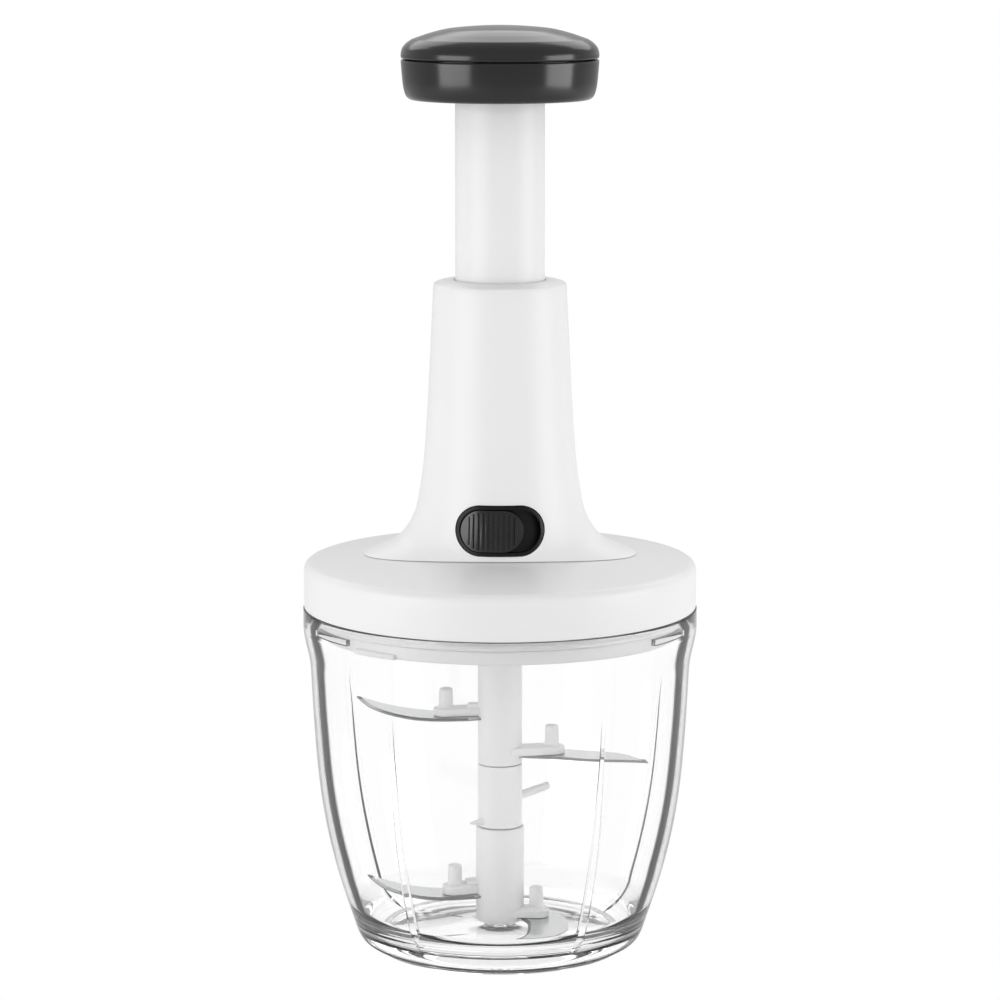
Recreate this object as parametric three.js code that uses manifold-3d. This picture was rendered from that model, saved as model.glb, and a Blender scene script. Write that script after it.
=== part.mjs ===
// A hand chopper: a clear bowl, a twist-on lid with a tall grip, and a plunger that spins the cutter.
// Lengths are millimetres and angles degrees. +Z is up, the lock faces -Y, the foot stands on z = 0.
import * as THREE from "three";
import { mergeVertices } from "three/addons/utils/BufferGeometryUtils.js";
import Module from "manifold-3d";

const wasm = await Module();
wasm.setup();

// Clearances, cuts and facets
const fit = 0.3; // gap between pieces that touch
const running = 0.45; // gap round a piece that slides or turns
const overrun = 2; // how far a cut runs past the face that it opens
const grandSides = 40;
const middleSides = 28;
const smallSides = 12;
const half = 0.5;
const weld = 1e-4; // corners closer than this are one

// Bowl
const bowl = {
  radius: 65.6,
  height: 114.7,
  wall: 2.6,
  neckInset: 2.2,
  collarHeight: 10.7,
  collarShoulder: 7.5,
  innerShoulder: 4,
  footInset: 3.2,
  footWidth: 4.6,
  footDepth: 3,
  floorTop: 6.2,
  floorInset: 5.2,
  ridgeWidth: 2.5,
  ridgeDepth: 1,
  ridgeCount: 5,
  ridgeTurn: -126,
  lugCount: 3,
  lugTurn: 90,
  lugSweep: 18,
  lugHeight: 2,
  lugReach: 1.6,
  lugDrop: 3.3,
};
// The side below the collar, as shares of the neck's radius and height
const bowlSideShares = [
  [0.732, 0.0145],
  [0.762, 0.05],
  [0.776, 0.088],
  [0.809, 0.15],
  [0.875, 0.285],
  [0.924, 0.429],
  [0.957, 0.57],
  [0.975, 0.715],
  [0.989, 0.858],
  [1, 1],
];
const outsideOnlyCount = 3; // the side's lowest points, which the thick base hides from the inside
const floorCornerShares = [
  [0.62, 0.28],
  [0.9, 0.72],
];

// Pivot pin that the cutter turns on
const pin = { radius: 1.9, sunk: 1.6, height: 9, bossRadius: 5, bossHeight: 0.8 };

// Cutter: three stacked stem pieces on one spigot
const stem = {
  lowerRadius: 8.1,
  radius: 7.4,
  clear: 0.5,
  lowerHeight: 32.3,
  middleHeight: 21.2,
  spigotRadius: 3.6,
  spigotGrip: 10,
  dogInset: 1.1,
  dogWidth: 4.4,
  dogHeight: 6.4,
  dogSpare: 0.7,
};
const arm = { thickness: 3, width: 9, postRadius: 2.5, postHeight: 7, postTop: 1 };
const blade = { thickness: 0.9, tangLap: 1.3, tangWidth: 7, tangDepth: 2.3 };
// Each carrier: its arm's rise above its stem piece's base, its reach, its tip's way in from the bowl, its azimuth
const upperLeft = { rise: 18.7, armReach: 21, tipInset: 8.5, azimuth: 179 };
const upperRight = { rise: 5.9, armReach: 21, tipInset: 7.6, azimuth: 0 };
const lowerLeft = { rise: 11.9, armReach: 18.6, tipInset: 2, azimuth: 187 };
const lowerFront = { rise: 5.1, armReach: 17, tipInset: 5.7, azimuth: -16 };
// Blade outlines as shares of the blade's reach, along the arm and across it
const sickleShares = {
  back: [
    [0.19, 0.105],
    [0.426, 0.118],
    [0.638, 0.029],
    [0.812, -0.14],
    [0.921, -0.391],
  ],
  edge: [
    [0.785, -0.29],
    [0.6, -0.2],
    [0.39, -0.125],
    [0.19, -0.09],
  ],
};
const hookShares = {
  back: [
    [0.24, 0.13],
    [0.5, 0.2],
    [0.68, 0.01],
    [0.69, -0.36],
    [0.56, -0.7],
    [0.4, -0.915],
  ],
  edge: [
    [0.41, -0.66],
    [0.42, -0.4],
    [0.36, -0.16],
    [0.24, -0.1],
  ],
};
const outlineSteps = 14;
// Mixing arm and nub on the middle stem piece
const mixer = {
  azimuth: 35,
  reach: 19,
  radius: 1.3,
  rise: 3,
  low: 7.5,
  nubReach: 12,
  nubAzimuth: 215,
  nubDrop: 5.5,
};

// Lid
const lid = {
  setBack: 0.3,
  sideHeight: 15.3,
  wall: 2.2,
  edgeRound: 1.6,
  topSlope: 7.2,
  plateThickness: 2,
  skirtDepth: 7.5,
  skirtThickness: 3.4,
  collarWall: 2.5,
  collarRise: 6.7,
  lipThickness: 1.8,
};
const gasket = { height: 2.4, depth: 3, drop: 0.7 };
const lidLug = { height: 1.6, depth: 1.4, sweep: 16, turnSpare: 3 };

// Drive between plunger and cutter
const drive = {
  hubWall: 2.9,
  socketDepth: 7.6,
  webHeight: 3,
  journalRadius: 4.2,
  socketLugWidth: 3.6,
  socketLugStart: 3.5,
  sealHeight: 1,
  washerHeight: 0.8,
};
const ratchet = { teeth: 12, radius: 6.8, toothDepth: 0.9, height: 2.5, phase: 6 };
const pawlAzimuths = [0, 180];
const pawl = { length: 4.6, round: 1.5, tipWidth: 1.2, lean: 30, pinRadius: 0.7, pinInset: 1.7 };
const rod = {
  footHeight: 2.5,
  journalRadius: 4.9,
  journalHeight: 3,
  width: 6.4,
  thickness: 3,
  lead: 36,
  tipRise: 4.2,
  stepsPerTurn: 36,
};

// Tower: round at the neck and oval at the base, where only the sides flare
const tower = {
  height: 91.9,
  topRise: 1.7,
  neckRadius: 22,
  baseHalfWidth: 45.7,
  baseHalfDepth: 29.3,
  wall: 2.2,
  capThickness: 3,
  bossInset: 4,
  bossRadius: 3.6,
  bossHeight: 13,
};
// Height, half width and half depth, each as a share of the way from base to neck, or back
const towerShares = [
  [0, 1, 1],
  [0.014, 0.928, 0.973],
  [0.036, 0.735, 0.925],
  [0.064, 0.52, 0.885],
  [0.1, 0.39, 0.835],
  [0.141, 0.3, 0.767],
  [0.2, 0.228, 0.671],
  [0.348, 0.143, 0.452],
  [0.6, 0.074, 0.24],
  [1, 0, 0],
];
const towerScrew = { shaftRadius: 1.4, headRadius: 2.9, headHeight: 1.9, grip: 8 };
const sleeve = { wall: 2.2, floorThickness: 2.2, flangeReach: 3.3, flangeThickness: 2, keyClear: 0.4 };
const bush = { height: 9, reach: 4.4 };

// Lock on the tower's front
const lock = {
  centreHeight: 12.3,
  length: 28.6,
  height: 16,
  rim: 1,
  proud: 0.6,
  depth: 3.2,
  floorThickness: 1.5,
  sliderProud: 1,
  ribCount: 10,
  ribSpacing: 1.6,
  ribWidth: 0.8,
  ribHeight: 0.5,
  ribZoneHeight: 9,
  swing: 11,
  tenonWidth: 5,
  tenonHeight: 5,
  plateThickness: 1.8,
  plateSpare: 2,
  boltWidth: 3,
  boltHeight: 3,
  boltBite: 1.9,
};

// Plunger
const tube = {
  radius: 14.7,
  wall: 2.4,
  topClear: 3.8,
  capThickness: 2,
  grip: 7.7,
  bossRadius: 4.2,
  bossLength: 8,
};
const nut = { flangeHeight: 3, bodyHeight: 6, lugWidth: 3.8, lugReach: 1.9, bottomClear: 3 };
const stroke = 55;
const spring = {
  radius: 8,
  wire: 1.3,
  curls: 11,
  stepsPerCurl: 8,
  wireSides: 5,
  seatHeight: 2,
  spigotHeight: 3.5,
};

// Knob
const knob = {
  radius: 32.4,
  ringHeight: 13,
  capHeight: 11.1,
  wall: 2.2,
  floorThickness: 2.2,
  bridgeThickness: 2.2,
  lipDepth: 4,
};
const ringShares = [
  [0.9, 0],
  [0.955, 0.055],
  [0.98, 0.2],
  [0.994, 0.52],
  [1, 0.97],
];
const domeShares = [
  [1, 0.02],
  [1, 0.14],
  [0.985, 0.32],
  [0.93, 0.55],
  [0.83, 0.72],
  [0.62, 0.86],
  [0.32, 0.965],
];
const knobScrew = { shaftRadius: 1.5, headRadius: 3.1, headHeight: 1.8 };

// Sizes and levels that follow from the sizes above
const neckRadius = bowl.radius - bowl.neckInset;
const neckHeight = bowl.height - bowl.collarHeight - bowl.collarShoulder;
const collarInside = bowl.radius - bowl.wall;
const footRadius = bowlSideShares[0][0] * neckRadius - bowl.footInset;
const floorRadius = footRadius - bowl.floorInset;
const bossTop = bowl.floorTop + pin.bossHeight;
const stemBottom = bossTop + stem.clear;
const middleBase = stemBottom + stem.lowerHeight + fit;
const upperBase = middleBase + stem.middleHeight + fit;
const lidRadius = bowl.radius - lid.setBack;
const lidBase = bowl.height + fit;
const lidEdge = lidBase + lid.sideHeight;
const slope = Math.tan(THREE.MathUtils.degToRad(lid.topSlope));
const plugRadius = collarInside - bowl.lugReach - running;
const plugBottom = lidBase - lid.skirtDepth;
const plateTop = lidBase + fit + lid.plateThickness;
const sealBase = plugBottom + lid.lipThickness + fit;
const hubBore = stem.radius + fit;
const hubRadius = hubBore + drive.hubWall;
const pinCircle = hubRadius - pawl.pinInset;
const hubBase = sealBase + drive.sealHeight + fit;
const stemTop = hubBase + drive.socketDepth - stem.dogSpare - stem.dogHeight;
const hubTop = hubBase + drive.socketDepth + drive.webHeight;
const washerBase = hubTop + fit;
const ratchetBase = washerBase + drive.washerHeight + fit;
const footBase = ratchetBase + ratchet.height + fit;
const sleeveBase = footBase + rod.footHeight + fit;
const sleeveInside = tube.radius + running;
const sleeveOutside = sleeveInside + sleeve.wall;
const nutBottom = sleeveBase + sleeve.floorThickness + nut.bottomClear + stroke;
const nutTop = nutBottom + nut.flangeHeight + fit + nut.bodyHeight;
const spiralBase = footBase + rod.footHeight + rod.journalHeight;
const spiralTop = nutTop + rod.tipRise;
const towerBase = topOfLid(tower.baseHalfWidth);
const towerCrease = towerBase + tower.height - tower.topRise;
const towerTop = towerBase + tower.height;
const knobBase = towerTop + stroke + tube.topClear;
const tubeBottom = nutBottom + nut.flangeHeight + fit;
const tubeTop = knobBase + tube.grip;
const tubeInside = tube.radius - tube.wall;
const bossCentre = rowAt(towerBase + tower.bossHeight)[0] - tower.bossInset;
const screwTip = topOfLid(bossCentre) + towerScrew.grip;
const lockLevel = towerBase + lock.centreHeight;
const seatBase = spiralTop + fit;
const seatTop = seatBase + spring.seatHeight;
const carriers = {
  upperLeft: raised(upperLeft, upperBase),
  upperRight: raised(upperRight, upperBase),
  lowerLeft: raised(lowerLeft, stemBottom),
  lowerFront: raised(lowerFront, stemBottom),
};

// A carrier with the level of its arm's top, above the lower end of its stem piece
function raised(carrier, base) {
  return { ...carrier, top: base + carrier.rise };
}

// Height of the lid's coned top at a radius
function topOfLid(radius) {
  return lidEdge + (lidRadius - lid.edgeRound - radius) * slope;
}

// Shape helpers: each makes a solid from a three.js geometry
function solidFrom(geometry) {
  const bare = geometry.clone();
  bare.deleteAttribute("normal");
  bare.deleteAttribute("uv");
  const merged = mergeVertices(bare, weld);
  return new wasm.Manifold(
    new wasm.Mesh({
      numProp: 3,
      vertProperties: new Float32Array(merged.attributes.position.array),
      triVerts: new Uint32Array(merged.index.array),
    }),
  );
}

function geometryFrom(solid) {
  const made = solid.getMesh();
  const geometry = new THREE.BufferGeometry();
  geometry.setAttribute("position", new THREE.BufferAttribute(made.vertProperties, 3));
  geometry.setIndex(new THREE.BufferAttribute(made.triVerts, 1));
  geometry.computeVertexNormals();
  return geometry;
}

function joined(solids) {
  return solids.reduce((whole, part) => whole.add(part));
}

// A profile of [radius, height] points turned about Z: up the outside and down the inside
function turnedGeometry(profile, sides) {
  const points = profile.map(([radius, height]) => new THREE.Vector2(radius, height));
  return new THREE.LatheGeometry(points, sides).rotateX(Math.PI / 2);
}

function turned(profile, sides) {
  return solidFrom(turnedGeometry(profile, sides));
}

function ringOf(profile, sides) {
  return turned([...profile, profile[0]], sides);
}

function disc(radius, low, high, sides = smallSides) {
  return turned([[0, low], [radius, low], [radius, high], [0, high]], sides);
}

function washer(inside, outside, low, high, sides = middleSides) {
  return ringOf([[inside, low], [outside, low], [outside, high], [inside, high]], sides);
}

function boxGeometry([x0, x1], [y0, y1], [z0, z1]) {
  return new THREE.BoxGeometry(x1 - x0, y1 - y0, z1 - z0).translate(
    (x0 + x1) * half,
    (y0 + y1) * half,
    (z0 + z1) * half,
  );
}

function box(xs, ys, zs, azimuth = 0) {
  return solidFrom(boxGeometry(xs, ys, zs).rotateZ(THREE.MathUtils.degToRad(azimuth)));
}

function wedge(azimuth, sweep, reach, low, high) {
  const from = THREE.MathUtils.degToRad(azimuth - sweep * half);
  const to = THREE.MathUtils.degToRad(azimuth + sweep * half);
  const outline = new THREE.Shape([
    new THREE.Vector2(0, 0),
    new THREE.Vector2(reach * Math.cos(from), reach * Math.sin(from)),
    new THREE.Vector2(reach * Math.cos(to), reach * Math.sin(to)),
  ]);
  return plate(outline, low, high);
}

function plate(outline, low, high, azimuth = 0) {
  const settings = { depth: high - low, bevelEnabled: false, curveSegments: 8 };
  const geometry = new THREE.ExtrudeGeometry(outline, settings);
  return solidFrom(geometry.translate(0, 0, low).rotateZ(THREE.MathUtils.degToRad(azimuth)));
}

// A stadium that faces the front, run through everything ahead of the axis
function frontStadium(length, height, reach) {
  const radius = height * half;
  const straight = length * half - radius;
  const outline = new THREE.Shape();
  outline.absarc(straight, 0, radius, -Math.PI / 2, Math.PI / 2);
  outline.absarc(-straight, 0, radius, Math.PI / 2, Math.PI * 1.5);
  const settings = { depth: reach, bevelEnabled: false, curveSegments: 10 };
  return new THREE.ExtrudeGeometry(outline, settings).rotateX(Math.PI / 2).translate(0, 0, lockLevel);
}

function finish(color, roughness, metalness = 0) {
  return new THREE.MeshStandardMaterial({ color, roughness, metalness });
}

function clearFinish() {
  const material = finish(0xf4f7f8, 0.05);
  material.transparent = true;
  material.opacity = 0.3;
  return material;
}

const whitePlastic = () => finish(0xf1f1f0, 0.32);
const greyPlastic = () => finish(0xdcdcdb, 0.4);
const blackPlastic = () => finish(0x2b2c2d, 0.38);
const silicone = () => finish(0xe9eaea, 0.7);
const steel = () => finish(0xc3c6c8, 0.24, 1);

// A named mesh whose geometry is measured from the level that it stands on
function piece(name, solid, material, seat) {
  const mesh = new THREE.Mesh(geometryFrom(solid).translate(0, 0, -seat), material);
  mesh.name = name;
  mesh.position.z = seat;
  return mesh;
}

// Bowl
function bowlSide() {
  return bowlSideShares.map(([radius, height]) => [radius * neckRadius, height * neckHeight]);
}

function bowlInside() {
  const side = bowlSide()
    .slice(outsideOnlyCount)
    .map(([radius, height]) => [radius - bowl.wall, height]);
  const [endRadius, endHeight] = side[0];
  const corner = floorCornerShares.map(([along, up]) => [
    floorRadius + (endRadius - floorRadius) * along,
    bowl.floorTop + (endHeight - bowl.floorTop) * up,
  ]);
  return [[floorRadius, bowl.floorTop], ...corner, ...side];
}

// The bowl's inner radius at a height
function insideRadius(height) {
  const line = [...bowlInside(), [collarInside, bowl.height]];
  const above = line.findIndex(([, level]) => level > height);
  const [lowRadius, low] = line[above - 1];
  const [highRadius, high] = line[above];
  return THREE.MathUtils.mapLinear(height, low, high, lowRadius, highRadius);
}

function bowlRidges() {
  const path = bowlInside().slice(1);
  const buried = path.map(([radius, height]) => [radius + bowl.wall * half, height]);
  const shown = path.map(([radius, height]) => [radius - bowl.ridgeDepth, height]).reverse();
  const layer = ringOf([...buried, ...shown], grandSides);
  const ridges = [];
  for (let i = 0; i < bowl.ridgeCount; i += 1) {
    const azimuth = bowl.ridgeTurn + (i * 360) / bowl.ridgeCount;
    const across = bowl.ridgeWidth * half;
    ridges.push(layer.intersect(box([0, bowl.radius], [-across, across], [0, bowl.height], azimuth)));
  }
  return ridges;
}

function bowlLugs() {
  const top = bowl.height - bowl.lugDrop;
  const ring = washer(
    collarInside - bowl.lugReach,
    collarInside + bowl.wall * half,
    top - bowl.lugHeight,
    top,
    grandSides,
  );
  const lugs = [];
  for (let i = 0; i < bowl.lugCount; i += 1) {
    const azimuth = bowl.lugTurn + (i * 360) / bowl.lugCount;
    lugs.push(ring.intersect(wedge(azimuth, bowl.lugSweep, bowl.radius + overrun, 0, bowl.height)));
  }
  return lugs;
}

function makeBowl() {
  const inside = bowlInside().reverse();
  const footInside = footRadius - bowl.footWidth;
  const collarBase = bowl.height - bowl.collarHeight;
  const body = turned(
    [
      [0, bowl.footDepth],
      [footInside, bowl.footDepth],
      [footInside, 0],
      [footRadius, 0],
      ...bowlSide(),
      [bowl.radius, collarBase],
      [bowl.radius, bowl.height],
      [collarInside, bowl.height],
      [collarInside, neckHeight + bowl.innerShoulder],
      ...inside,
      [pin.bossRadius, bowl.floorTop],
      [pin.bossRadius, bossTop],
      [pin.radius + fit, bossTop],
      [pin.radius + fit, bossTop - pin.sunk],
      [0, bossTop - pin.sunk],
    ],
    grandSides,
  );
  return joined([body, ...bowlRidges(), ...bowlLugs()]);
}

function makePin() {
  const low = bossTop - pin.sunk + fit;
  return disc(pin.radius, low, low + pin.height);
}

// Cutter
function armOutline(reach) {
  const across = arm.width * half;
  const outline = new THREE.Shape();
  outline.moveTo(0, -across);
  outline.absarc(reach - across, 0, across, -Math.PI / 2, Math.PI / 2);
  outline.lineTo(0, across);
  return outline;
}

function armWithPost({ top, armReach, azimuth }) {
  const beam = plate(armOutline(armReach), top - arm.thickness, top, azimuth);
  const postLine = [
    [0, top - arm.thickness * half],
    [arm.postRadius, top - arm.thickness * half],
    [arm.postRadius, top + arm.postHeight - arm.postTop],
    [arm.postRadius - arm.postTop, top + arm.postHeight],
    [0, top + arm.postHeight],
  ];
  const post = turnedGeometry(postLine, smallSides)
    .translate(armReach - arm.width * half, 0, 0)
    .rotateZ(THREE.MathUtils.degToRad(azimuth));
  return beam.add(solidFrom(post));
}

function bladeLevel(carrier) {
  return carrier.top - arm.thickness - fit - blade.thickness;
}

function tangSlot(carrier, radius) {
  const across = blade.tangWidth * half + fit;
  const low = bladeLevel(carrier) - fit;
  const high = low + blade.thickness + fit + fit;
  const along = [radius - blade.tangDepth - fit, radius + overrun];
  return box(along, [-across, across], [low, high], carrier.azimuth);
}

function bladeOutline(shares, reach) {
  const scaled = (points) => points.map(([x, y]) => new THREE.Vector2(x * reach, y * reach));
  const back = new THREE.SplineCurve(scaled(shares.back)).getPoints(outlineSteps);
  const edge = new THREE.SplineCurve([back[back.length - 1], ...scaled(shares.edge)]).getPoints(outlineSteps);
  return new THREE.Shape([...back, ...edge.slice(1)]);
}

function makeBlade(shares, carrier, radius) {
  const across = blade.tangWidth * half;
  const reach = insideRadius(bladeLevel(carrier)) - carrier.tipInset;
  const [[backStartShare]] = shares.back;
  const ends = [radius - blade.tangDepth, backStartShare * reach + blade.tangLap];
  const tang = box(ends, [-across, across], [0, blade.thickness]);
  return plate(bladeOutline(shares, reach), 0, blade.thickness).add(tang);
}

function bladePiece(name, shares, carrier, radius) {
  const mesh = piece(name, makeBlade(shares, carrier, radius), steel(), 0);
  mesh.rotation.z = THREE.MathUtils.degToRad(carrier.azimuth);
  mesh.position.z = bladeLevel(carrier);
  return mesh;
}

function makeLowerStem() {
  const top = stemBottom + stem.lowerHeight;
  const spigotTop = upperBase + stem.spigotGrip;
  const pinHole = pin.radius + fit;
  const body = turned(
    [
      [0, bossTop + pin.height],
      [pinHole, bossTop + pin.height],
      [pinHole, stemBottom],
      [stem.lowerRadius, stemBottom],
      [stem.lowerRadius, top],
      [stem.spigotRadius, top],
      [stem.spigotRadius, spigotTop],
      [0, spigotTop],
    ],
    middleSides,
  );
  const arms = [armWithPost(carriers.lowerLeft), armWithPost(carriers.lowerFront)];
  return joined([body, ...arms])
    .subtract(disc(pinHole, 0, bossTop + pin.height))
    .subtract(tangSlot(carriers.lowerLeft, stem.lowerRadius))
    .subtract(tangSlot(carriers.lowerFront, stem.lowerRadius));
}

function mixingRod(level) {
  const from = new THREE.Vector3(0, 0, level);
  const to = new THREE.Vector3(mixer.reach, 0, level + mixer.rise);
  const along = to.clone().sub(from);
  const capsule = new THREE.CapsuleGeometry(mixer.radius, along.length(), 3, smallSides);
  const lean = new THREE.Quaternion();
  lean.setFromUnitVectors(THREE.Object3D.DEFAULT_UP, along.normalize());
  capsule.applyQuaternion(lean);
  const centre = from.add(to).multiplyScalar(half);
  return solidFrom(capsule.translate(...centre).rotateZ(THREE.MathUtils.degToRad(mixer.azimuth)));
}

function makeMiddleStem() {
  const high = middleBase + stem.middleHeight;
  const bore = stem.spigotRadius + fit;
  const rodLevel = middleBase + mixer.low;
  const nub = new THREE.ConeGeometry(mixer.radius, mixer.nubReach, smallSides)
    .rotateZ(-Math.PI / 2)
    .translate(mixer.nubReach * half, 0, rodLevel - mixer.nubDrop)
    .rotateZ(THREE.MathUtils.degToRad(mixer.nubAzimuth));
  return washer(bore, stem.radius, middleBase, high)
    .add(mixingRod(rodLevel))
    .add(solidFrom(nub))
    .subtract(disc(bore, middleBase - overrun, high + overrun, middleSides));
}

function makeUpperStem() {
  const along = stem.radius - stem.dogInset;
  const across = stem.dogWidth * half;
  const socketRadius = stem.spigotRadius + fit;
  const socket = disc(socketRadius, upperBase - overrun, upperBase + stem.spigotGrip + fit, middleSides);
  return disc(stem.radius, upperBase, stemTop, middleSides)
    .add(box([-along, along], [-across, across], [stemTop - overrun, stemTop + stem.dogHeight]))
    .add(armWithPost(carriers.upperLeft))
    .add(armWithPost(carriers.upperRight))
    .subtract(socket)
    .subtract(tangSlot(carriers.upperLeft, stem.radius))
    .subtract(tangSlot(carriers.upperRight, stem.radius));
}

// Lid
function makeLidShell() {
  const opening = sleeveOutside + fit;
  const edge = lidRadius - lid.edgeRound;
  const bend = lid.edgeRound * (1 - Math.SQRT1_2);
  const inside = lidRadius - lid.wall;
  const shell = ringOf(
    [
      [inside, lidBase],
      [lidRadius, lidBase],
      [lidRadius, lidEdge - lid.edgeRound],
      [lidRadius - bend, lidEdge - bend],
      [edge, lidEdge],
      [opening, topOfLid(opening)],
      [opening, topOfLid(opening) - lid.wall],
      [inside, topOfLid(inside) - lid.wall],
    ],
    grandSides,
  );
  const holes = [-1, 1].map((side) => screwHole(side * bossCentre, towerScrew.shaftRadius + fit));
  return shell.subtract(joined(holes));
}

function screwHole(x, radius) {
  const top = screwTip + fit;
  const line = [[0, lidBase], [radius, lidBase], [radius, top], [0, top]];
  return solidFrom(turnedGeometry(line, smallSides).translate(x, 0, 0));
}

function makePlug() {
  const plateBase = lidBase + fit;
  const rim = lidRadius - lid.wall - fit;
  const skirtInside = plugRadius - lid.skirtThickness;
  const bore = hubRadius + running;
  const collarOutside = bore + lid.collarWall;
  const lip = stem.radius + running + fit;
  const collarTop = plateTop + lid.collarRise;
  const lipTop = plugBottom + lid.lipThickness;
  const gasketTop = lidBase - gasket.drop;
  const groove = plugRadius + bowl.lugReach - gasket.depth - fit;
  const body = ringOf(
    [
      [lip, plugBottom],
      [collarOutside, plugBottom],
      [collarOutside, plateBase],
      [skirtInside, plateBase],
      [skirtInside, plugBottom],
      [plugRadius, plugBottom],
      [plugRadius, gasketTop - gasket.height - fit],
      [groove, gasketTop - gasket.height - fit],
      [groove, gasketTop + fit],
      [plugRadius, gasketTop + fit],
      [plugRadius, plateBase],
      [rim, plateBase],
      [rim, plateTop],
      [collarOutside, plateTop],
      [collarOutside, collarTop],
      [bore, collarTop],
      [bore, lipTop],
      [lip, lipTop],
    ],
    grandSides,
  );
  return joined([body, ...lidLugs()]);
}

// At rest the lid's lugs stand beside the bowl's, free to lift out, and a clockwise turn takes them under
function lidLugs() {
  const ring = washer(
    plugRadius - lid.skirtThickness * half,
    plugRadius + lidLug.depth,
    plugBottom,
    plugBottom + lidLug.height,
    grandSides,
  );
  const ahead = (bowl.lugSweep + lidLug.sweep) * half + lidLug.turnSpare;
  const lugs = [];
  for (let i = 0; i < bowl.lugCount; i += 1) {
    const azimuth = bowl.lugTurn + ahead + (i * 360) / bowl.lugCount;
    lugs.push(ring.intersect(wedge(azimuth, lidLug.sweep, bowl.radius + overrun, 0, bowl.height)));
  }
  return lugs;
}

function makeGasket() {
  const top = lidBase - gasket.drop;
  const outside = plugRadius + bowl.lugReach;
  return washer(outside - gasket.depth, outside, top - gasket.height, top, grandSides);
}

// Tower
function towerRows() {
  return towerShares.map(([up, wide, deep]) => [
    towerBase + (towerCrease - towerBase) * up,
    tower.neckRadius + (tower.baseHalfWidth - tower.neckRadius) * wide,
    tower.neckRadius + (tower.baseHalfDepth - tower.neckRadius) * deep,
  ]);
}

function rowAt(height) {
  const rows = towerRows();
  const above = Math.max(1, rows.findIndex(([level]) => level >= height));
  const [low, lowWidth, lowDepth] = rows[above - 1];
  const [high, highWidth, highDepth] = rows[above];
  const share = THREE.MathUtils.clamp((height - low) / (high - low), 0, 1);
  return [THREE.MathUtils.lerp(lowWidth, highWidth, share), THREE.MathUtils.lerp(lowDepth, highDepth, share)];
}

// Widens a turned shape along X by what the tower is wider than deep at each height
function madeOval(geometry) {
  const place = geometry.attributes.position;
  for (let i = 0; i < place.count; i += 1) {
    const radius = Math.hypot(place.getX(i), place.getY(i));
    const height = Math.min(place.getZ(i), towerCrease);
    const [wide, deep] = rowAt(height);
    if (radius > 0) place.setX(i, place.getX(i) * (1 + (wide - deep) / radius));
  }
  return geometry;
}

function lidTopSolid(raised) {
  const reach = lidRadius;
  return turned(
    [
      [0, lidBase - lid.sideHeight],
      [reach, lidBase - lid.sideHeight],
      [reach, topOfLid(reach) + raised],
      [0, topOfLid(0) + raised],
    ],
    grandSides,
  );
}

function towerBoss(x) {
  const top = towerBase + tower.bossHeight;
  const line = [[0, towerBase], [tower.bossRadius, towerBase], [tower.bossRadius, top], [0, top]];
  return solidFrom(turnedGeometry(line, smallSides).translate(x, 0, 0));
}

function makeTower() {
  const rows = towerRows();
  const outside = rows.map(([height, , deep]) => [deep, height]);
  const inside = rows.map(([height, , deep]) => [deep - tower.wall, height]).reverse();
  const mouth = tube.radius + running;
  const capBase = towerTop - tower.capThickness;
  const [[neckInside]] = inside;
  const skirt = towerBase - lid.wall;
  const profile = [
    [tower.baseHalfDepth - tower.wall, skirt],
    [tower.baseHalfDepth, skirt],
    ...outside,
    [mouth, towerTop],
    [mouth, capBase],
    [neckInside, capBase],
    ...inside.slice(1),
  ];
  const shell = solidFrom(madeOval(turnedGeometry([...profile, profile[0]], middleSides)));
  const bossed = joined([shell, towerBoss(-bossCentre), towerBoss(bossCentre)]);
  const holes = [-1, 1].map((side) => screwHole(side * bossCentre, towerScrew.shaftRadius + fit));
  const lockHole = frontStadium(lock.length + fit + fit, lock.height + fit + fit, tower.baseHalfWidth);
  return bossed.subtract(lidTopSolid(fit)).subtract(joined(holes)).subtract(solidFrom(lockHole));
}

function makeTowerScrew(x) {
  const headTop = topOfLid(bossCentre + towerScrew.headRadius) - lid.wall - fit;
  const low = headTop - towerScrew.headHeight;
  const line = [
    [0, low],
    [towerScrew.headRadius, low],
    [towerScrew.headRadius, headTop],
    [towerScrew.shaftRadius, headTop],
    [towerScrew.shaftRadius, screwTip],
    [0, screwTip],
  ];
  return solidFrom(turnedGeometry(line, smallSides).translate(x, 0, 0));
}

function makeSleeve() {
  const top = towerTop - tower.capThickness - fit - bush.height - fit;
  const floorTop = sleeveBase + sleeve.floorThickness;
  const flangeBase = topOfLid(sleeveOutside) + fit;
  const flangeTop = flangeBase + sleeve.flangeThickness;
  const body = ringOf(
    [
      [rod.journalRadius + fit, sleeveBase],
      [sleeveOutside, sleeveBase],
      [sleeveOutside, flangeBase],
      [sleeveOutside + sleeve.flangeReach, flangeBase],
      [sleeveOutside + sleeve.flangeReach, flangeTop],
      [sleeveOutside, flangeTop],
      [sleeveOutside, top],
      [sleeveInside, top],
      [sleeveInside, floorTop],
      [rod.journalRadius + fit, floorTop],
    ],
    middleSides,
  );
  const keyReach = sleeveOutside + fit;
  const keyAcross = nut.lugWidth * half + sleeve.keyClear;
  const keyLow = nutBottom - stroke - running;
  const keyHigh = tubeBottom + running;
  const keys = box([-keyReach, keyReach], [-keyAcross, keyAcross], [keyLow, keyHigh]);
  return body.subtract(keys).subtract(boltPath(sleeveInside - overrun, sleeveOutside + overrun, running));
}

function makeBush() {
  const top = towerTop - tower.capThickness - fit;
  const inside = tube.radius + fit;
  const outside = tower.neckRadius - tower.wall - fit;
  return washer(inside, Math.min(inside + bush.reach, outside), top - bush.height, top);
}

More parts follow.
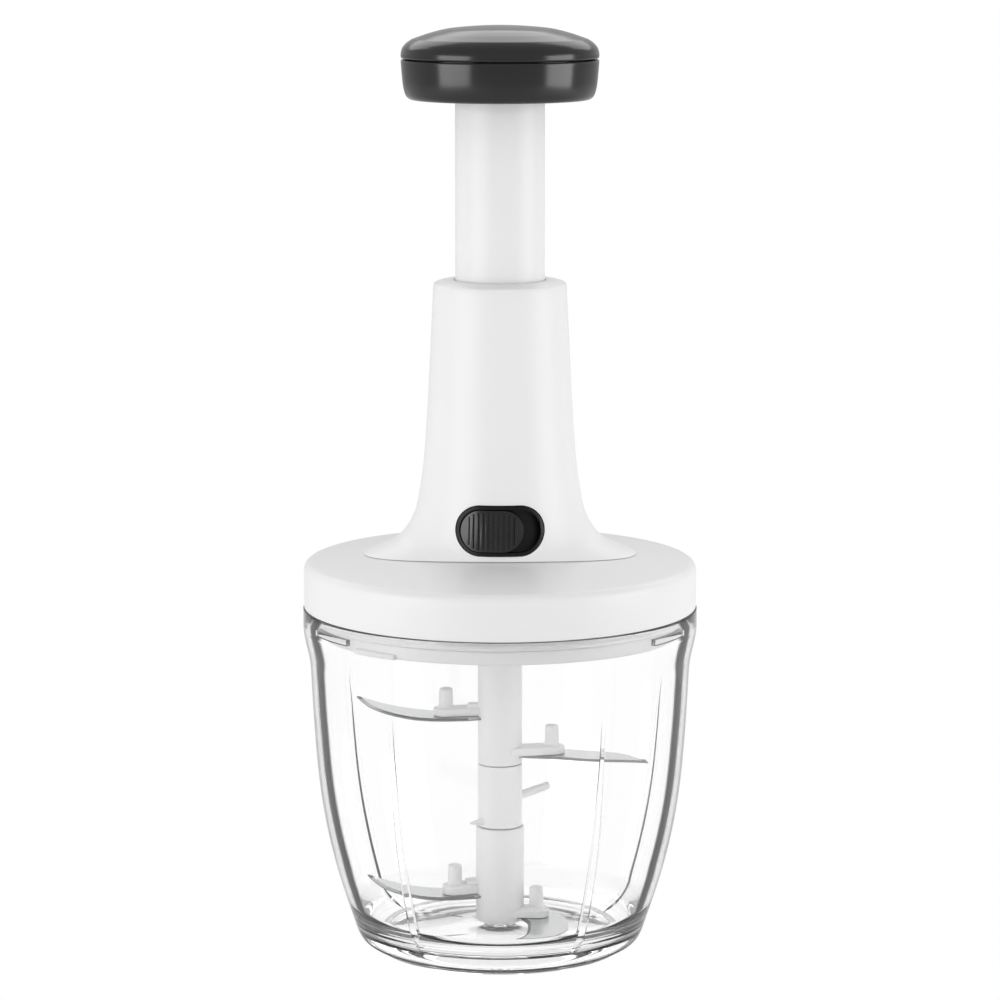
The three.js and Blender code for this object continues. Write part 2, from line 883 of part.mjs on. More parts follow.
// Lock: its parts are layers that follow the tower's front, so the slider can turn about Z
function frontLayer(inner, outer) {
  const low = lockLevel - lock.height;
  const high = lockLevel + lock.height;
  const [, deepLow] = rowAt(lockLevel - lock.height * half);
  const [, deepHigh] = rowAt(lockLevel + lock.height * half);
  const middle = (deepLow + deepHigh) * half;
  const lean = deepLow - deepHigh;
  return ringOf(
    [
      [middle + lean + inner, low],
      [middle + lean + outer, low],
      [middle - lean + outer, high],
      [middle - lean + inner, high],
    ],
    grandSides,
  );
}

function stadiumLayer(length, height, inner, outer) {
  const prism = solidFrom(frontStadium(length, height, tower.baseHalfWidth));
  return prism.intersect(frontLayer(inner, outer));
}

function wellLength() {
  return lock.length - lock.rim - lock.rim;
}

// The well's length less the way that the slider goes as the lock turns
function sliderLength() {
  const [, deep] = rowAt(lockLevel);
  return wellLength() - deep * THREE.MathUtils.degToRad(lock.swing) - fit - fit;
}

function makeBezel() {
  const body = stadiumLayer(lock.length, lock.height, -lock.depth, lock.proud);
  const wellHeight = lock.height - lock.rim - lock.rim;
  const well = stadiumLayer(wellLength(), wellHeight, lock.floorThickness - lock.depth, lock.proud + overrun);
  const slotLow = lockLevel - lock.tenonHeight * half - fit;
  const slotHigh = lockLevel + lock.tenonHeight * half + fit;
  const reach = tower.baseHalfWidth;
  const [, deep] = rowAt(lockLevel);
  const tenonSweep = THREE.MathUtils.radToDeg((lock.tenonWidth + fit + fit) / (deep - lock.depth));
  const slot = wedge(-90, lock.swing + tenonSweep, reach, slotLow, slotHigh);
  return body.subtract(well).subtract(slot);
}

function makeSlider() {
  const length = sliderLength();
  const height = lock.height - lock.rim - lock.rim - fit - fit;
  const under = lock.floorThickness - lock.depth + fit;
  const body = stadiumLayer(length, height, under, lock.sliderProud);
  const ribs = stadiumLayer(length, lock.ribZoneHeight, 0, lock.sliderProud + lock.ribHeight);
  const ribSpan = [lockLevel - lock.height, lockLevel + lock.height];
  const strips = [];
  for (let i = 0; i < lock.ribCount; i += 1) {
    const x = (i - (lock.ribCount - 1) * half) * lock.ribSpacing;
    const across = lock.ribWidth * half;
    strips.push(box([x - across, x + across], [-tower.baseHalfWidth, 0], ribSpan));
  }
  const tenon = tenonBlock(lock.tenonWidth * half, lock.tenonHeight * half, -lock.depth, under + fit);
  return joined([body, tenon, ribs.intersect(joined(strips))]);
}

function tenonBlock(across, up, inner, outer) {
  const block = box([-across, across], [-tower.baseHalfWidth, 0], [lockLevel - up, lockLevel + up]);
  return block.intersect(frontLayer(inner, outer));
}

function makeBolt() {
  const front = -lock.depth - fit;
  const across = lock.tenonWidth * half + lock.plateSpare;
  const up = lock.tenonHeight * half + lock.plateSpare;
  const back = tenonBlock(across, up, front - lock.plateThickness, front);
  const [, deep] = rowAt(lockLevel);
  const wide = lock.boltWidth * half;
  const tall = lock.boltHeight * half;
  const ys = [front + deep - lock.plateThickness * half, tube.radius - lock.boltBite].map((y) => -y);
  return back.add(box([-wide, wide], ys, [lockLevel - tall, lockLevel + tall]));
}

// The space that the bolt's end sweeps as the lock turns, between two radii
function boltPath(inner, outer, room, low = lockLevel, high = lockLevel) {
  const tall = lock.boltHeight * half + room;
  const wide = THREE.MathUtils.radToDeg((lock.boltWidth + room + room) / tube.radius);
  const ring = washer(inner, outer, low - tall, high + tall);
  const sector = wedge(-90, lock.swing + wide, outer + outer, low - tall - overrun, high + tall + overrun);
  return ring.intersect(sector);
}

// The way in from the tube's lower end to the notch that the bolt turns into
function boltEntry(inner, outer) {
  const wide = THREE.MathUtils.radToDeg((lock.boltWidth + running + running) / tube.radius);
  const low = nutBottom - overrun;
  const high = lockLevel + stroke;
  const ring = washer(inner, outer, low, high);
  return ring.intersect(wedge(-90 - lock.swing * half, wide, outer + outer, low - overrun, high + overrun));
}

// Drive
function makeSeal() {
  return washer(stem.radius + running + fit, hubRadius, sealBase, sealBase + drive.sealHeight);
}

function makeHub() {
  const socketTop = hubBase + drive.socketDepth;
  const journalTop = footBase - fit;
  const body = turned(
    [
      [0, socketTop],
      [hubBore, socketTop],
      [hubBore, hubBase],
      [hubRadius, hubBase],
      [hubRadius, hubTop],
      [drive.journalRadius, hubTop],
      [drive.journalRadius, journalTop],
      [0, journalTop],
    ],
    middleSides,
  );
  const across = drive.socketLugWidth * half;
  const reach = hubBore + drive.hubWall * half;
  const lugBase = stemTop + fit;
  const lugs = [-1, 1].map((side) =>
    box(
      [-across, across],
      side > 0 ? [drive.socketLugStart, reach] : [-reach, -drive.socketLugStart],
      [lugBase, socketTop + fit],
    ),
  );
  return joined([body, ...lugs]);
}

function makeThrustWasher() {
  const high = washerBase + drive.washerHeight;
  return washer(drive.journalRadius + fit, hubRadius - fit, washerBase, high);
}

function makeRatchetWheel() {
  const outline = new THREE.Shape();
  for (let i = 0; i < ratchet.teeth; i += 1) {
    const angle = (i * 2 * Math.PI) / ratchet.teeth + THREE.MathUtils.degToRad(ratchet.phase);
    const root = ratchet.radius - ratchet.toothDepth;
    const draw = i === 0 ? "moveTo" : "lineTo";
    outline[draw](root * Math.cos(angle), root * Math.sin(angle));
    outline.lineTo(ratchet.radius * Math.cos(angle), ratchet.radius * Math.sin(angle));
  }
  outline.holes.push(new THREE.Path().absarc(0, 0, drive.journalRadius + fit, 0, 2 * Math.PI));
  return plate(outline, ratchetBase, ratchetBase + ratchet.height);
}

function pawlOutline() {
  const outline = new THREE.Shape();
  outline.absarc(0, 0, pawl.round, Math.PI / 2, Math.PI * 1.5);
  outline.lineTo(pawl.length, -pawl.round);
  outline.lineTo(pawl.length, pawl.tipWidth - pawl.round);
  outline.holes.push(new THREE.Path().absarc(0, 0, pawl.pinRadius + fit, 0, 2 * Math.PI));
  return outline;
}

function pawlPiece(name, azimuth) {
  const turn = THREE.MathUtils.degToRad(azimuth);
  const mesh = piece(name, plate(pawlOutline(), 0, ratchet.height - fit), steel(), 0);
  mesh.position.set(pinCircle * Math.cos(turn), pinCircle * Math.sin(turn), ratchetBase);
  mesh.rotation.z = turn + Math.PI / 2 + THREE.MathUtils.degToRad(pawl.lean);
  return mesh;
}

function pawlPin(azimuth) {
  const low = ratchetBase + fit;
  const line = [[0, low], [pawl.pinRadius, low], [pawl.pinRadius, footBase + fit], [0, footBase + fit]];
  const pinShape = turnedGeometry(line, smallSides).translate(pinCircle, 0, 0);
  return solidFrom(pinShape.rotateZ(THREE.MathUtils.degToRad(azimuth)));
}

function makeRod() {
  const footTop = footBase + rod.footHeight;
  const foot = turned(
    [
      [0, footBase],
      [hubRadius, footBase],
      [hubRadius, footTop],
      [rod.journalRadius, footTop],
      [rod.journalRadius, spiralBase],
      [0, spiralBase],
    ],
    middleSides,
  );
  const bar = twistedBar(rod.width, rod.thickness, spiralBase - overrun, spiralTop);
  return joined([foot, bar, ...pawlAzimuths.map(pawlPin)]);
}

// A flat bar whose long side turns one full turn per lead, all phases taken from the spiral's base
function twistedBar(width, thickness, low, high) {
  const steps = Math.ceil(((high - low) / rod.lead) * rod.stepsPerTurn);
  const bar = new THREE.BoxGeometry(width, thickness, high - low, 2, 1, steps);
  bar.translate(0, 0, (low + high) * half);
  const place = bar.attributes.position;
  const corner = new THREE.Vector3();
  for (let i = 0; i < place.count; i += 1) {
    corner.fromBufferAttribute(place, i);
    const turn = ((corner.z - spiralBase) / rod.lead) * 2 * Math.PI;
    corner.applyAxisAngle(new THREE.Vector3(0, 0, 1), turn);
    place.setXYZ(i, corner.x, corner.y, corner.z);
  }
  return solidFrom(bar);
}

// Plunger
function makeTube() {
  const bossBase = tubeTop - tube.capThickness - tube.bossLength;
  const hole = knobScrew.shaftRadius + fit;
  const body = ringOf(
    [
      [tubeInside, tubeBottom],
      [tube.radius, tubeBottom],
      [tube.radius, tubeTop],
      [hole, tubeTop],
      [hole, bossBase],
      [tube.bossRadius, bossBase],
      [tube.bossRadius, tubeTop - tube.capThickness],
      [tubeInside, tubeTop - tube.capThickness],
    ],
    middleSides,
  );
  const notchLevel = lockLevel + stroke;
  const inner = tubeInside - overrun;
  const outer = tube.radius + overrun;
  return body
    .subtract(boltPath(inner, outer, running, notchLevel, notchLevel))
    .subtract(boltEntry(inner, outer));
}

function makeNut() {
  const flangeTop = nutBottom + nut.flangeHeight;
  const body = turned(
    [
      [0, nutBottom],
      [tube.radius, nutBottom],
      [tube.radius, flangeTop],
      [tubeInside - fit, flangeTop],
      [tubeInside - fit, nutTop],
      [0, nutTop],
    ],
    middleSides,
  );
  const reach = tube.radius + nut.lugReach;
  const across = nut.lugWidth * half;
  const lugs = box([-reach, reach], [-across, across], [nutBottom, flangeTop]);
  const wide = rod.width + running + running;
  const thick = rod.thickness + running + running;
  const slot = twistedBar(wide, thick, nutBottom - overrun, nutTop + overrun);
  return body.add(lugs).subtract(slot).subtract(boltEntry(tubeInside - fit - fit, tube.radius + overrun));
}

function makeSpringSeat() {
  const rim = spring.radius + spring.wire;
  const spigot = spring.radius - spring.wire - spring.wire;
  const spigotTop = seatTop + spring.spigotHeight;
  return turned(
    [
      [0, seatBase],
      [rim, seatBase],
      [rim, seatTop],
      [spigot, seatTop],
      [spigot, spigotTop],
      [0, spigotTop],
    ],
    smallSides,
  );
}

class SpringLine extends THREE.Curve {
  getPoint(share, target = new THREE.Vector3()) {
    const radius = spring.radius - spring.wire * half;
    const low = seatTop + spring.wire * half + fit + fit;
    const high = tubeTop - tube.capThickness - spring.wire * half - fit - fit;
    const angle = share * spring.curls * 2 * Math.PI;
    const height = THREE.MathUtils.lerp(low, high, share);
    return target.set(radius * Math.cos(angle), radius * Math.sin(angle), height);
  }
}

function makeSpring() {
  const section = new THREE.Shape();
  for (let i = 0; i < spring.wireSides; i += 1) {
    const angle = (i * 2 * Math.PI) / spring.wireSides;
    const draw = i === 0 ? "moveTo" : "lineTo";
    section[draw](spring.wire * half * Math.cos(angle), spring.wire * half * Math.sin(angle));
  }
  const line = new SpringLine();
  const steps = spring.curls * spring.stepsPerCurl;
  return solidFrom(new THREE.ExtrudeGeometry(section, { steps, extrudePath: line }));
}

// The spring's least gap between neighbouring curls, measured on points of its line
function springGap() {
  const points = new SpringLine().getPoints(spring.curls * spring.stepsPerCurl);
  let least = Infinity;
  points.forEach((point, i) => {
    for (let j = i + spring.stepsPerCurl - 1; j < points.length; j += 1) {
      least = Math.min(least, point.distanceTo(points[j]) - spring.wire);
    }
  });
  return least;
}

// Knob
function makeKnobRing() {
  const outside = ringShares.map(([wide, up]) => [wide * knob.radius, knobBase + up * knob.ringHeight]);
  const top = knobBase + knob.ringHeight;
  const inside = knob.radius - knob.wall;
  const floorTop = knobBase + knob.floorThickness;
  const socket = tube.radius + fit;
  const bridgeBase = tubeTop + fit;
  const bridgeTop = bridgeBase + knob.bridgeThickness;
  return ringOf(
    [
      [socket, knobBase],
      ...outside,
      [inside, top],
      [inside, floorTop],
      [socket + knob.wall, floorTop],
      [socket + knob.wall, bridgeTop],
      [knobScrew.shaftRadius + fit, bridgeTop],
      [knobScrew.shaftRadius + fit, bridgeBase],
      [socket, bridgeBase],
    ],
    middleSides,
  );
}

function makeKnobCap() {
  const base = knobBase + knob.ringHeight;
  const dome = domeShares.map(([wide, up]) => [wide * knob.radius, base + up * knob.capHeight]);
  const top = base + knob.capHeight;
  const lip = knob.radius - knob.wall - fit;
  const hollow = dome
    .filter(([radius]) => radius < lip - knob.wall)
    .map(([radius, height]) => [radius, height - knob.wall])
    .reverse();
  const [seam] = dome;
  return turned(
    [
      [lip, seam[1]],
      ...dome,
      [0, top],
      [0, top - knob.wall],
      ...hollow,
      [lip - knob.wall, base],
      [lip - knob.wall, base - knob.lipDepth],
      [lip, base - knob.lipDepth],
      [lip, seam[1]],
    ],
    middleSides,
  );
}

function makeKnobScrew() {
  const headBase = tubeTop + fit + knob.bridgeThickness + fit;
  const tip = tubeTop - tube.capThickness - tube.bossLength + fit;
  return turned(
    [
      [0, tip],
      [knobScrew.shaftRadius, tip],
      [knobScrew.shaftRadius, headBase],
      [knobScrew.headRadius, headBase],
      [knobScrew.headRadius, headBase + knobScrew.headHeight],
      [0, headBase + knobScrew.headHeight],
    ],
    smallSides,
  );
}

// Assemblies
function groupOf(meshes) {
  const group = new THREE.Group();
  group.add(...meshes);
  return group;
}

function bowlAssembly() {
  return groupOf([
    piece("bowl", makeBowl(), clearFinish(), 0),
    piece("pivot_pin", makePin(), steel(), bowl.floorTop),
  ]);
}

function cutterAssembly() {
  return groupOf([
    piece("stem_lower", makeLowerStem(), greyPlastic(), stemBottom),
    piece("stem_middle", makeMiddleStem(), greyPlastic(), stemBottom),
    piece("stem_upper", makeUpperStem(), greyPlastic(), stemBottom),
    bladePiece("blade_upper_left", sickleShares, carriers.upperLeft, stem.radius),
    bladePiece("blade_upper_right", sickleShares, carriers.upperRight, stem.radius),
    bladePiece("blade_lower_left", sickleShares, carriers.lowerLeft, stem.lowerRadius),
    bladePiece("blade_lower_front", hookShares, carriers.lowerFront, stem.lowerRadius),
  ]);
}

function lidAssembly() {
  return groupOf([
    piece("lid_gasket", makeGasket(), silicone(), lidBase),
    piece("lid_shell", makeLidShell(), whitePlastic(), lidBase),
    piece("lid_plug", makePlug(), whitePlastic(), lidBase),
    piece("drive_seal", makeSeal(), silicone(), lidBase),
  ]);
}

function towerAssembly() {
  return groupOf([
    piece("tower", makeTower(), whitePlastic(), towerBase),
    piece("tower_screw_left", makeTowerScrew(-bossCentre), steel(), towerBase),
    piece("tower_screw_right", makeTowerScrew(bossCentre), steel(), towerBase),
    piece("guide_sleeve", makeSleeve(), greyPlastic(), sleeveBase),
    piece("neck_bush", makeBush(), greyPlastic(), towerTop),
    piece("lock_bezel", makeBezel(), blackPlastic(), lockLevel),
  ]);
}

function lockAssembly() {
  const group = groupOf([
    piece("lock_slider", makeSlider(), blackPlastic(), lockLevel),
    piece("lock_bolt", makeBolt(), blackPlastic(), lockLevel),
  ]);
  group.rotation.z = THREE.MathUtils.degToRad(-lock.swing * half);
  return group;
}

function driveAssembly() {
  return groupOf([
    piece("drive_hub", makeHub(), greyPlastic(), hubBase),
    piece("thrust_washer", makeThrustWasher(), steel(), hubTop),
    piece("ratchet_wheel", makeRatchetWheel(), steel(), hubTop),
    pawlPiece("pawl_left", pawlAzimuths[1]),
    pawlPiece("pawl_right", pawlAzimuths[0]),
    piece("spiral_rod", makeRod(), steel(), footBase),
    piece("spring_seat", makeSpringSeat(), greyPlastic(), seatBase),
    piece("return_spring", makeSpring(), steel(), seatTop),
  ]);
}

function plungerAssembly() {
  return groupOf([
    piece("plunger_tube", makeTube(), whitePlastic(), tubeBottom),
    piece("drive_nut", makeNut(), greyPlastic(), nutBottom),
    piece("knob_ring", makeKnobRing(), blackPlastic(), knobBase),
    piece("knob_cap", makeKnobCap(), blackPlastic(), knobBase),
    piece("knob_screw", makeKnobScrew(), steel(), knobBase),
  ]);
}

console.log("least gap in the return spring: " + springGap().toFixed(2) + " mm");

const group = new THREE.Group();
group.add(bowlAssembly(), cutterAssembly(), lidAssembly(), towerAssembly(), lockAssembly());
group.add(driveAssembly(), plungerAssembly());

export default group;
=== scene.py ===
"""The looks of a hand chopper: clear bowl, twist-on lid, tall grip, sprung plunger and cutter.

Sizes are millimetres in the classes and metres in the scene. +Z is up and the lock faces -Y.
"""

import logging
import math
from dataclasses import dataclass, field
from enum import Enum
from typing import Callable, Iterable, Sequence

import bmesh
import bpy
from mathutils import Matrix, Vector


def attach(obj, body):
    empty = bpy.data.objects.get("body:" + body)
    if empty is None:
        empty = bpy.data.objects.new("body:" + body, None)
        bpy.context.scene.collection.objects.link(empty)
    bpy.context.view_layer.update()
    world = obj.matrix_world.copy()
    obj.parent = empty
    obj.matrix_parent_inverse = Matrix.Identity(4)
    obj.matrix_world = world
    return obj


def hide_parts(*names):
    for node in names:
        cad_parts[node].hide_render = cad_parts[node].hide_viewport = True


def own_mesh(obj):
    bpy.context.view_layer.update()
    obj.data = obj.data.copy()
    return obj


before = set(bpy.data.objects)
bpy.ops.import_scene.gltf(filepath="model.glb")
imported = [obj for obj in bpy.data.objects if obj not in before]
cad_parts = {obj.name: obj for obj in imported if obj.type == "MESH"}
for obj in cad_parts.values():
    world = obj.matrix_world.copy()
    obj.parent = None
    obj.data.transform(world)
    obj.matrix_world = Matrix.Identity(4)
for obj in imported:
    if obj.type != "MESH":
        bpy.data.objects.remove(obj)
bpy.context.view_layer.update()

log = logging.getLogger("chopper")

MM = 0.001
HALF = 0.5
TURN = 2 * math.pi
QUARTER = math.pi * HALF
WELD = 1e-6  # metres within which corners are merged
SAME_PLACE = 0.001  # millimetres within which two places are one
SAME_LEVEL = 0.02  # millimetres within which two heights are one
ROUNDING_SHARE = 0.49  # the share of a side that one rounding may take up
PLASTIC_INDEX = 1.49
STADIUM_SIDES = 96
NOISE_LOW, NOISE_HIGH = 0.3, 0.7  # most of Blender's noise lies between them
MIRRORINGS = 2.5  # how often a ray may mirror and still see the plain white

Point = tuple[float, float]
Row = tuple[float, float, float]
Piece = bpy.types.Object
FaceTest = Callable[[Vector, Vector], bool]


class Slot(Enum):
    """The record's material slots."""

    CLEAR = "clear_plastic"
    WHITE = "white_plastic"
    GREY = "grey_plastic"
    BLACK = "black_plastic"
    SILICONE = "silicone"
    STEEL = "steel"


class Body(Enum):
    """The bodies that pieces ride on."""

    BOWL = "bowl"
    SEAL = "seal"
    LID = "lid"
    LOCK = "lock"
    DRIVE = "drive"
    PLUNGER = "plunger"
    CUTTER = "cutter"


class Cut(Enum):
    """What a second solid does to the first."""

    AWAY = "DIFFERENCE"
    COMMON = "INTERSECT"
    ADD = "UNION"


# Lines and outlines
def rounded(corners: Iterable[Row], steps: int = 4, ring: bool = False) -> list[Point]:
    """Rounds the corners of a line.

    Args:
        corners: each corner as x, y and the radius that it is rounded by.
        steps: how many parts each rounding has.
        ring: whether the line closes on itself.

    Returns:
        The points of the rounded line.
    """
    spots = list(corners)
    made: list[Point] = []
    for i, (x, y, radius) in enumerate(spots):
        inside = ring or 0 < i < len(spots) - 1
        if radius <= 0 or not inside:
            made.append((x, y))
            continue
        here = Vector((x, y))
        back = Vector(spots[i - 1][:2]) - here
        ahead = Vector(spots[(i + 1) % len(spots)][:2]) - here
        opening = back.angle(ahead)
        longest = min(back.length, ahead.length) * ROUNDING_SHARE
        reach = min(radius / math.tan(opening * HALF), longest)
        start, end = here + back.normalized() * reach, here + ahead.normalized() * reach
        for step in range(steps + 1):
            t = step / steps
            spot = start * (1 - t) ** 2 + here * 2 * t * (1 - t) + end * t**2
            made.append((spot.x, spot.y))
    return made


def flowing(points: Iterable[tuple[float, ...]], steps: int) -> list[tuple[float, ...]]:
    """A smooth line through points, by the Catmull-Rom rule.

    Args:
        points: what the line passes through.
        steps: how many parts the line has in all.

    Returns:
        The points of the smooth line.
    """
    spots = [Vector(p) for p in points]
    made = []
    for step in range(steps + 1):
        along = (len(spots) - 1) * step / steps
        at = min(int(along), len(spots) - 2)
        t = along - at
        before, start, end = spots[max(at - 1, 0)], spots[at], spots[at + 1]
        after = spots[min(at + 2, len(spots) - 1)]
        leave, arrive = (end - before) * HALF, (after - start) * HALF
        spot = (
            start * (2 * t**3 - 3 * t**2 + 1)
            + leave * (t**3 - 2 * t**2 + t)
            + end * (3 * t**2 - 2 * t**3)
            + arrive * (t**3 - t**2)
        )
        made.append(tuple(spot))
    return made


def set_off(line: list[Point], away: Callable[[float], float]) -> list[Point]:
    """A line beside another, to the left of its run.

    Args:
        line: the points of the first line.
        away: the distance at a height.

    Returns:
        The points of the second line.
    """
    made = []
    for i, (x, y) in enumerate(line):
        before, after = Vector(line[max(i - 1, 0)]), Vector(line[min(i + 1, len(line) - 1)])
        run = (after - before).normalized()
        made.append((x - run.y * away(y), y + run.x * away(y)))
    return made


def eased(line: list[Point], passes: int) -> list[Point]:
    """Evens out the bends of a line.

    Args:
        line: the points.
        passes: how often each point moves halfway to the middle of its neighbours.

    Returns:
        The evened line, with its ends where they were.
    """
    for _ in range(passes):
        threes = zip(line, line[1:], line[2:])
        middle = [tuple((a + 2 * b + c) / 4 for a, b, c in zip(*three)) for three in threes]
        line = [line[0], *middle, line[-1]]
    return line


def read_off(rows: Sequence[tuple[float, ...]], at: float) -> tuple[float, ...]:
    """The values of a table at a place between its rows.

    Args:
        rows: rows whose first value grows.
        at: the first value looked for.

    Returns:
        The other values there.
    """
    for low, high in zip(rows, rows[1:]):
        if at <= high[0]:
            share = max(0.0, (at - low[0]) / (high[0] - low[0]))
            return tuple(a + (b - a) * share for a, b in zip(low[1:], high[1:]))
    return tuple(rows[-1][1:])


def even(height: float, radius: float) -> Row:
    """The row of a round at a height."""
    return height, radius, radius


def moved(spot: Point, by: Point) -> Point:
    """A point moved by a step."""
    return spot[0] + by[0], spot[1] + by[1]


def azimuth_of(spot: Vector) -> float:
    """The azimuth of a point round Z, in degrees from +X."""
    return math.degrees(math.atan2(spot.y, spot.x))


def between(angle: float, other: float) -> float:
    """The least angle between two azimuths, in degrees."""
    return abs((angle - other + 180) % 360 - 180)


# The bench: each call works on one mesh with Blender's own operators
class Bench:
    """Starts, shapes and finishes meshes with operators."""

    @staticmethod
    def clear() -> None:
        """Leaves edit mode and deselects every object."""
        if bpy.context.mode != "OBJECT":
            bpy.ops.object.mode_set(mode="OBJECT")
        bpy.ops.object.select_all(action="DESELECT")

    @staticmethod
    def take(piece: Piece) -> None:
        """Makes one piece the only selected and active one.

        Args:
            piece: the piece.
        """
        Bench.clear()
        piece.select_set(True)
        bpy.context.view_layer.objects.active = piece

    @staticmethod
    def named(name: str) -> Piece:
        """Gives the active object and its mesh a name.

        Args:
            name: the name.

        Returns:
            The object.
        """
        piece = bpy.context.active_object
        piece.name = piece.data.name = name
        return piece

    @staticmethod
    def settle(piece: Piece) -> Piece:
        """Works the place and turn of a piece into its mesh.

        Args:
            piece: the piece.

        Returns:
            The piece.
        """
        Bench.take(piece)
        bpy.ops.object.transform_apply(location=True, rotation=True, scale=True)
        return piece

    @staticmethod
    def edit(piece: Piece) -> None:
        """Opens a piece in edit mode with all of it selected.

        Args:
            piece: the piece.
        """
        Bench.take(piece)
        bpy.ops.object.mode_set(mode="EDIT")
        bpy.ops.mesh.select_mode(type="VERT")
        bpy.ops.mesh.select_all(action="SELECT")

    @staticmethod
    def close() -> None:
        """Merges doubles, turns faces outwards and leaves edit mode."""
        bpy.ops.mesh.select_all(action="SELECT")
        bpy.ops.mesh.remove_doubles(threshold=WELD)
        bpy.ops.mesh.normals_make_consistent(inside=False)
        bpy.ops.mesh.select_all(action="DESELECT")
        bpy.ops.object.mode_set(mode="OBJECT")

    @staticmethod
    def pick(piece: Piece, test: FaceTest) -> None:
        """Selects faces of the piece in edit mode by their place and direction.

        Args:
            piece: the piece being edited.
            test: says of a face's centre, in millimetres, and its normal whether it is taken.
        """
        bpy.ops.mesh.select_mode(type="FACE")
        bpy.ops.mesh.select_all(action="DESELECT")
        shape = bmesh.from_edit_mesh(piece.data)
        for face in shape.faces:
            if test(face.calc_center_median() / MM, face.normal):
                face.select_set(True)
        bmesh.update_edit_mesh(piece.data)

    @staticmethod
    def pick_corners(piece: Piece, test: Callable[[Vector], bool]) -> None:
        """Selects corners of the piece in edit mode by their place.

        Args:
            piece: the piece being edited.
            test: says of a corner's place, in millimetres, whether it is taken.
        """
        bpy.ops.mesh.select_mode(type="VERT")
        bpy.ops.mesh.select_all(action="DESELECT")
        shape = bmesh.from_edit_mesh(piece.data)
        for corner in shape.verts:
            if test(corner.co / MM):
                corner.select_set(True)
        shape.select_flush(True)
        bmesh.update_edit_mesh(piece.data)

    @staticmethod
    def line(name: str, points: list[tuple[float, float, float]], ring: bool = False) -> Piece:
        """Draws a line of points by extruding one corner after another.

        Args:
            name: the new object's name.
            points: the places, in millimetres.
            ring: whether the last point joins the first.

        Returns:
            The new object, left in edit mode.
        """
        Bench.clear()
        bpy.ops.mesh.primitive_plane_add(size=MM, location=(0, 0, 0))
        piece = Bench.named(name)
        Bench.edit(piece)
        bpy.ops.mesh.merge(type="CENTER")
        bpy.ops.transform.translate(value=Vector(points[0]) * MM)
        for here, there in zip(points, points[1:]):
            step = (Vector(there) - Vector(here)) * MM
            bpy.ops.mesh.extrude_region_move(TRANSFORM_OT_translate={"value": step})
        if ring:
            ends = (Vector(points[0]), Vector(points[-1]))
            Bench.pick_corners(piece, lambda p: any((p - end).length < SAME_PLACE for end in ends))
            bpy.ops.mesh.edge_face_add()
        bpy.ops.mesh.select_all(action="SELECT")
        return piece

    @staticmethod
    def turned(name: str, outline: list[Point], sides: int, ring: bool = False) -> Piece:
        """Spins an outline of radius and height round Z.

        Args:
            name: the new object's name.
            outline: radius and height of each point, in millimetres.
            sides: how many sides the round has.
            ring: whether the outline closes on itself instead of on the axis.

        Returns:
            The closed solid.
        """
        piece = Bench.line(name, [(r, 0.0, z) for r, z in outline], ring)
        bpy.ops.mesh.spin(steps=sides, angle=TURN, center=(0, 0, 0), axis=(0, 0, 1))
        Bench.close()
        return piece

    @staticmethod
    def lofted(name: str, rows: list[Row], sides: int) -> Piece:
        """Extrudes an oval from row to row and bridges the last to the first.

        Args:
            name: the new object's name.
            rows: height, half width and half depth of each oval, in millimetres.
            sides: how many sides each oval has.

        Returns:
            The closed shell.
        """
        Bench.clear()
        height, wide, deep = rows[0]
        bpy.ops.mesh.primitive_circle_add(vertices=sides, radius=MM, location=(0, 0, 0))
        piece = Bench.named(name)
        Bench.edit(piece)
        bpy.ops.transform.resize(value=(wide, deep, 1), center_override=(0, 0, 0))
        bpy.ops.transform.translate(value=(0, 0, height * MM))
        for next_height, next_wide, next_deep in rows[1:]:
            bpy.ops.mesh.extrude_edges_move()
            grow = (next_wide / wide, next_deep / deep, 1)
            bpy.ops.transform.resize(value=grow, center_override=(0, 0, height * MM))
            bpy.ops.transform.translate(value=(0, 0, (next_height - height) * MM))
            height, wide, deep = next_height, next_wide, next_deep
        Bench.pick_open()
        bpy.ops.mesh.bridge_edge_loops()
        Bench.close()
        return piece

    @staticmethod
    def pick_open() -> None:
        """Selects the open rims of the mesh in edit mode."""
        bpy.ops.mesh.select_all(action="DESELECT")
        bpy.ops.mesh.select_non_manifold(
            extend=False, use_wire=False, use_multi_face=False, use_verts=False
        )

    @staticmethod
    def plate(name: str, outline: list[Point], low: float, high: float) -> Piece:
        """Fills an outline in plan and raises it to a plate.

        Args:
            name: the new object's name.
            outline: the points of the outline, in millimetres.
            low: the height of its underside.
            high: the height of its top.

        Returns:
            The closed plate.
        """
        piece = Bench.line(name, [(x, y, low) for x, y in outline], True)
        bpy.ops.mesh.edge_face_add()
        Bench.raise_by((0, 0, high - low))
        return piece

    @staticmethod
    def raise_by(way: Row) -> None:
        """Extrudes what is selected, in millimetres, and closes the solid."""
        bpy.ops.mesh.extrude_region_move(TRANSFORM_OT_translate={"value": Vector(way) * MM})
        Bench.close()

    @staticmethod
    def block(name: str, low: Row, high: Row) -> Piece:
        """A block for cutting and for joining.

        Args:
            name: the new object's name.
            low: its lower corner, in millimetres.
            high: its upper corner.

        Returns:
            The block.
        """
        Bench.clear()
        bpy.ops.mesh.primitive_cube_add(size=1, location=(0, 0, 0))
        piece = Bench.named(name)
        Bench.edit(piece)
        size = Vector(high) - Vector(low)
        bpy.ops.transform.resize(value=size * MM, center_override=(0, 0, 0))
        bpy.ops.transform.translate(value=(Vector(low) + Vector(high)) * HALF * MM)
        Bench.close()
        return piece

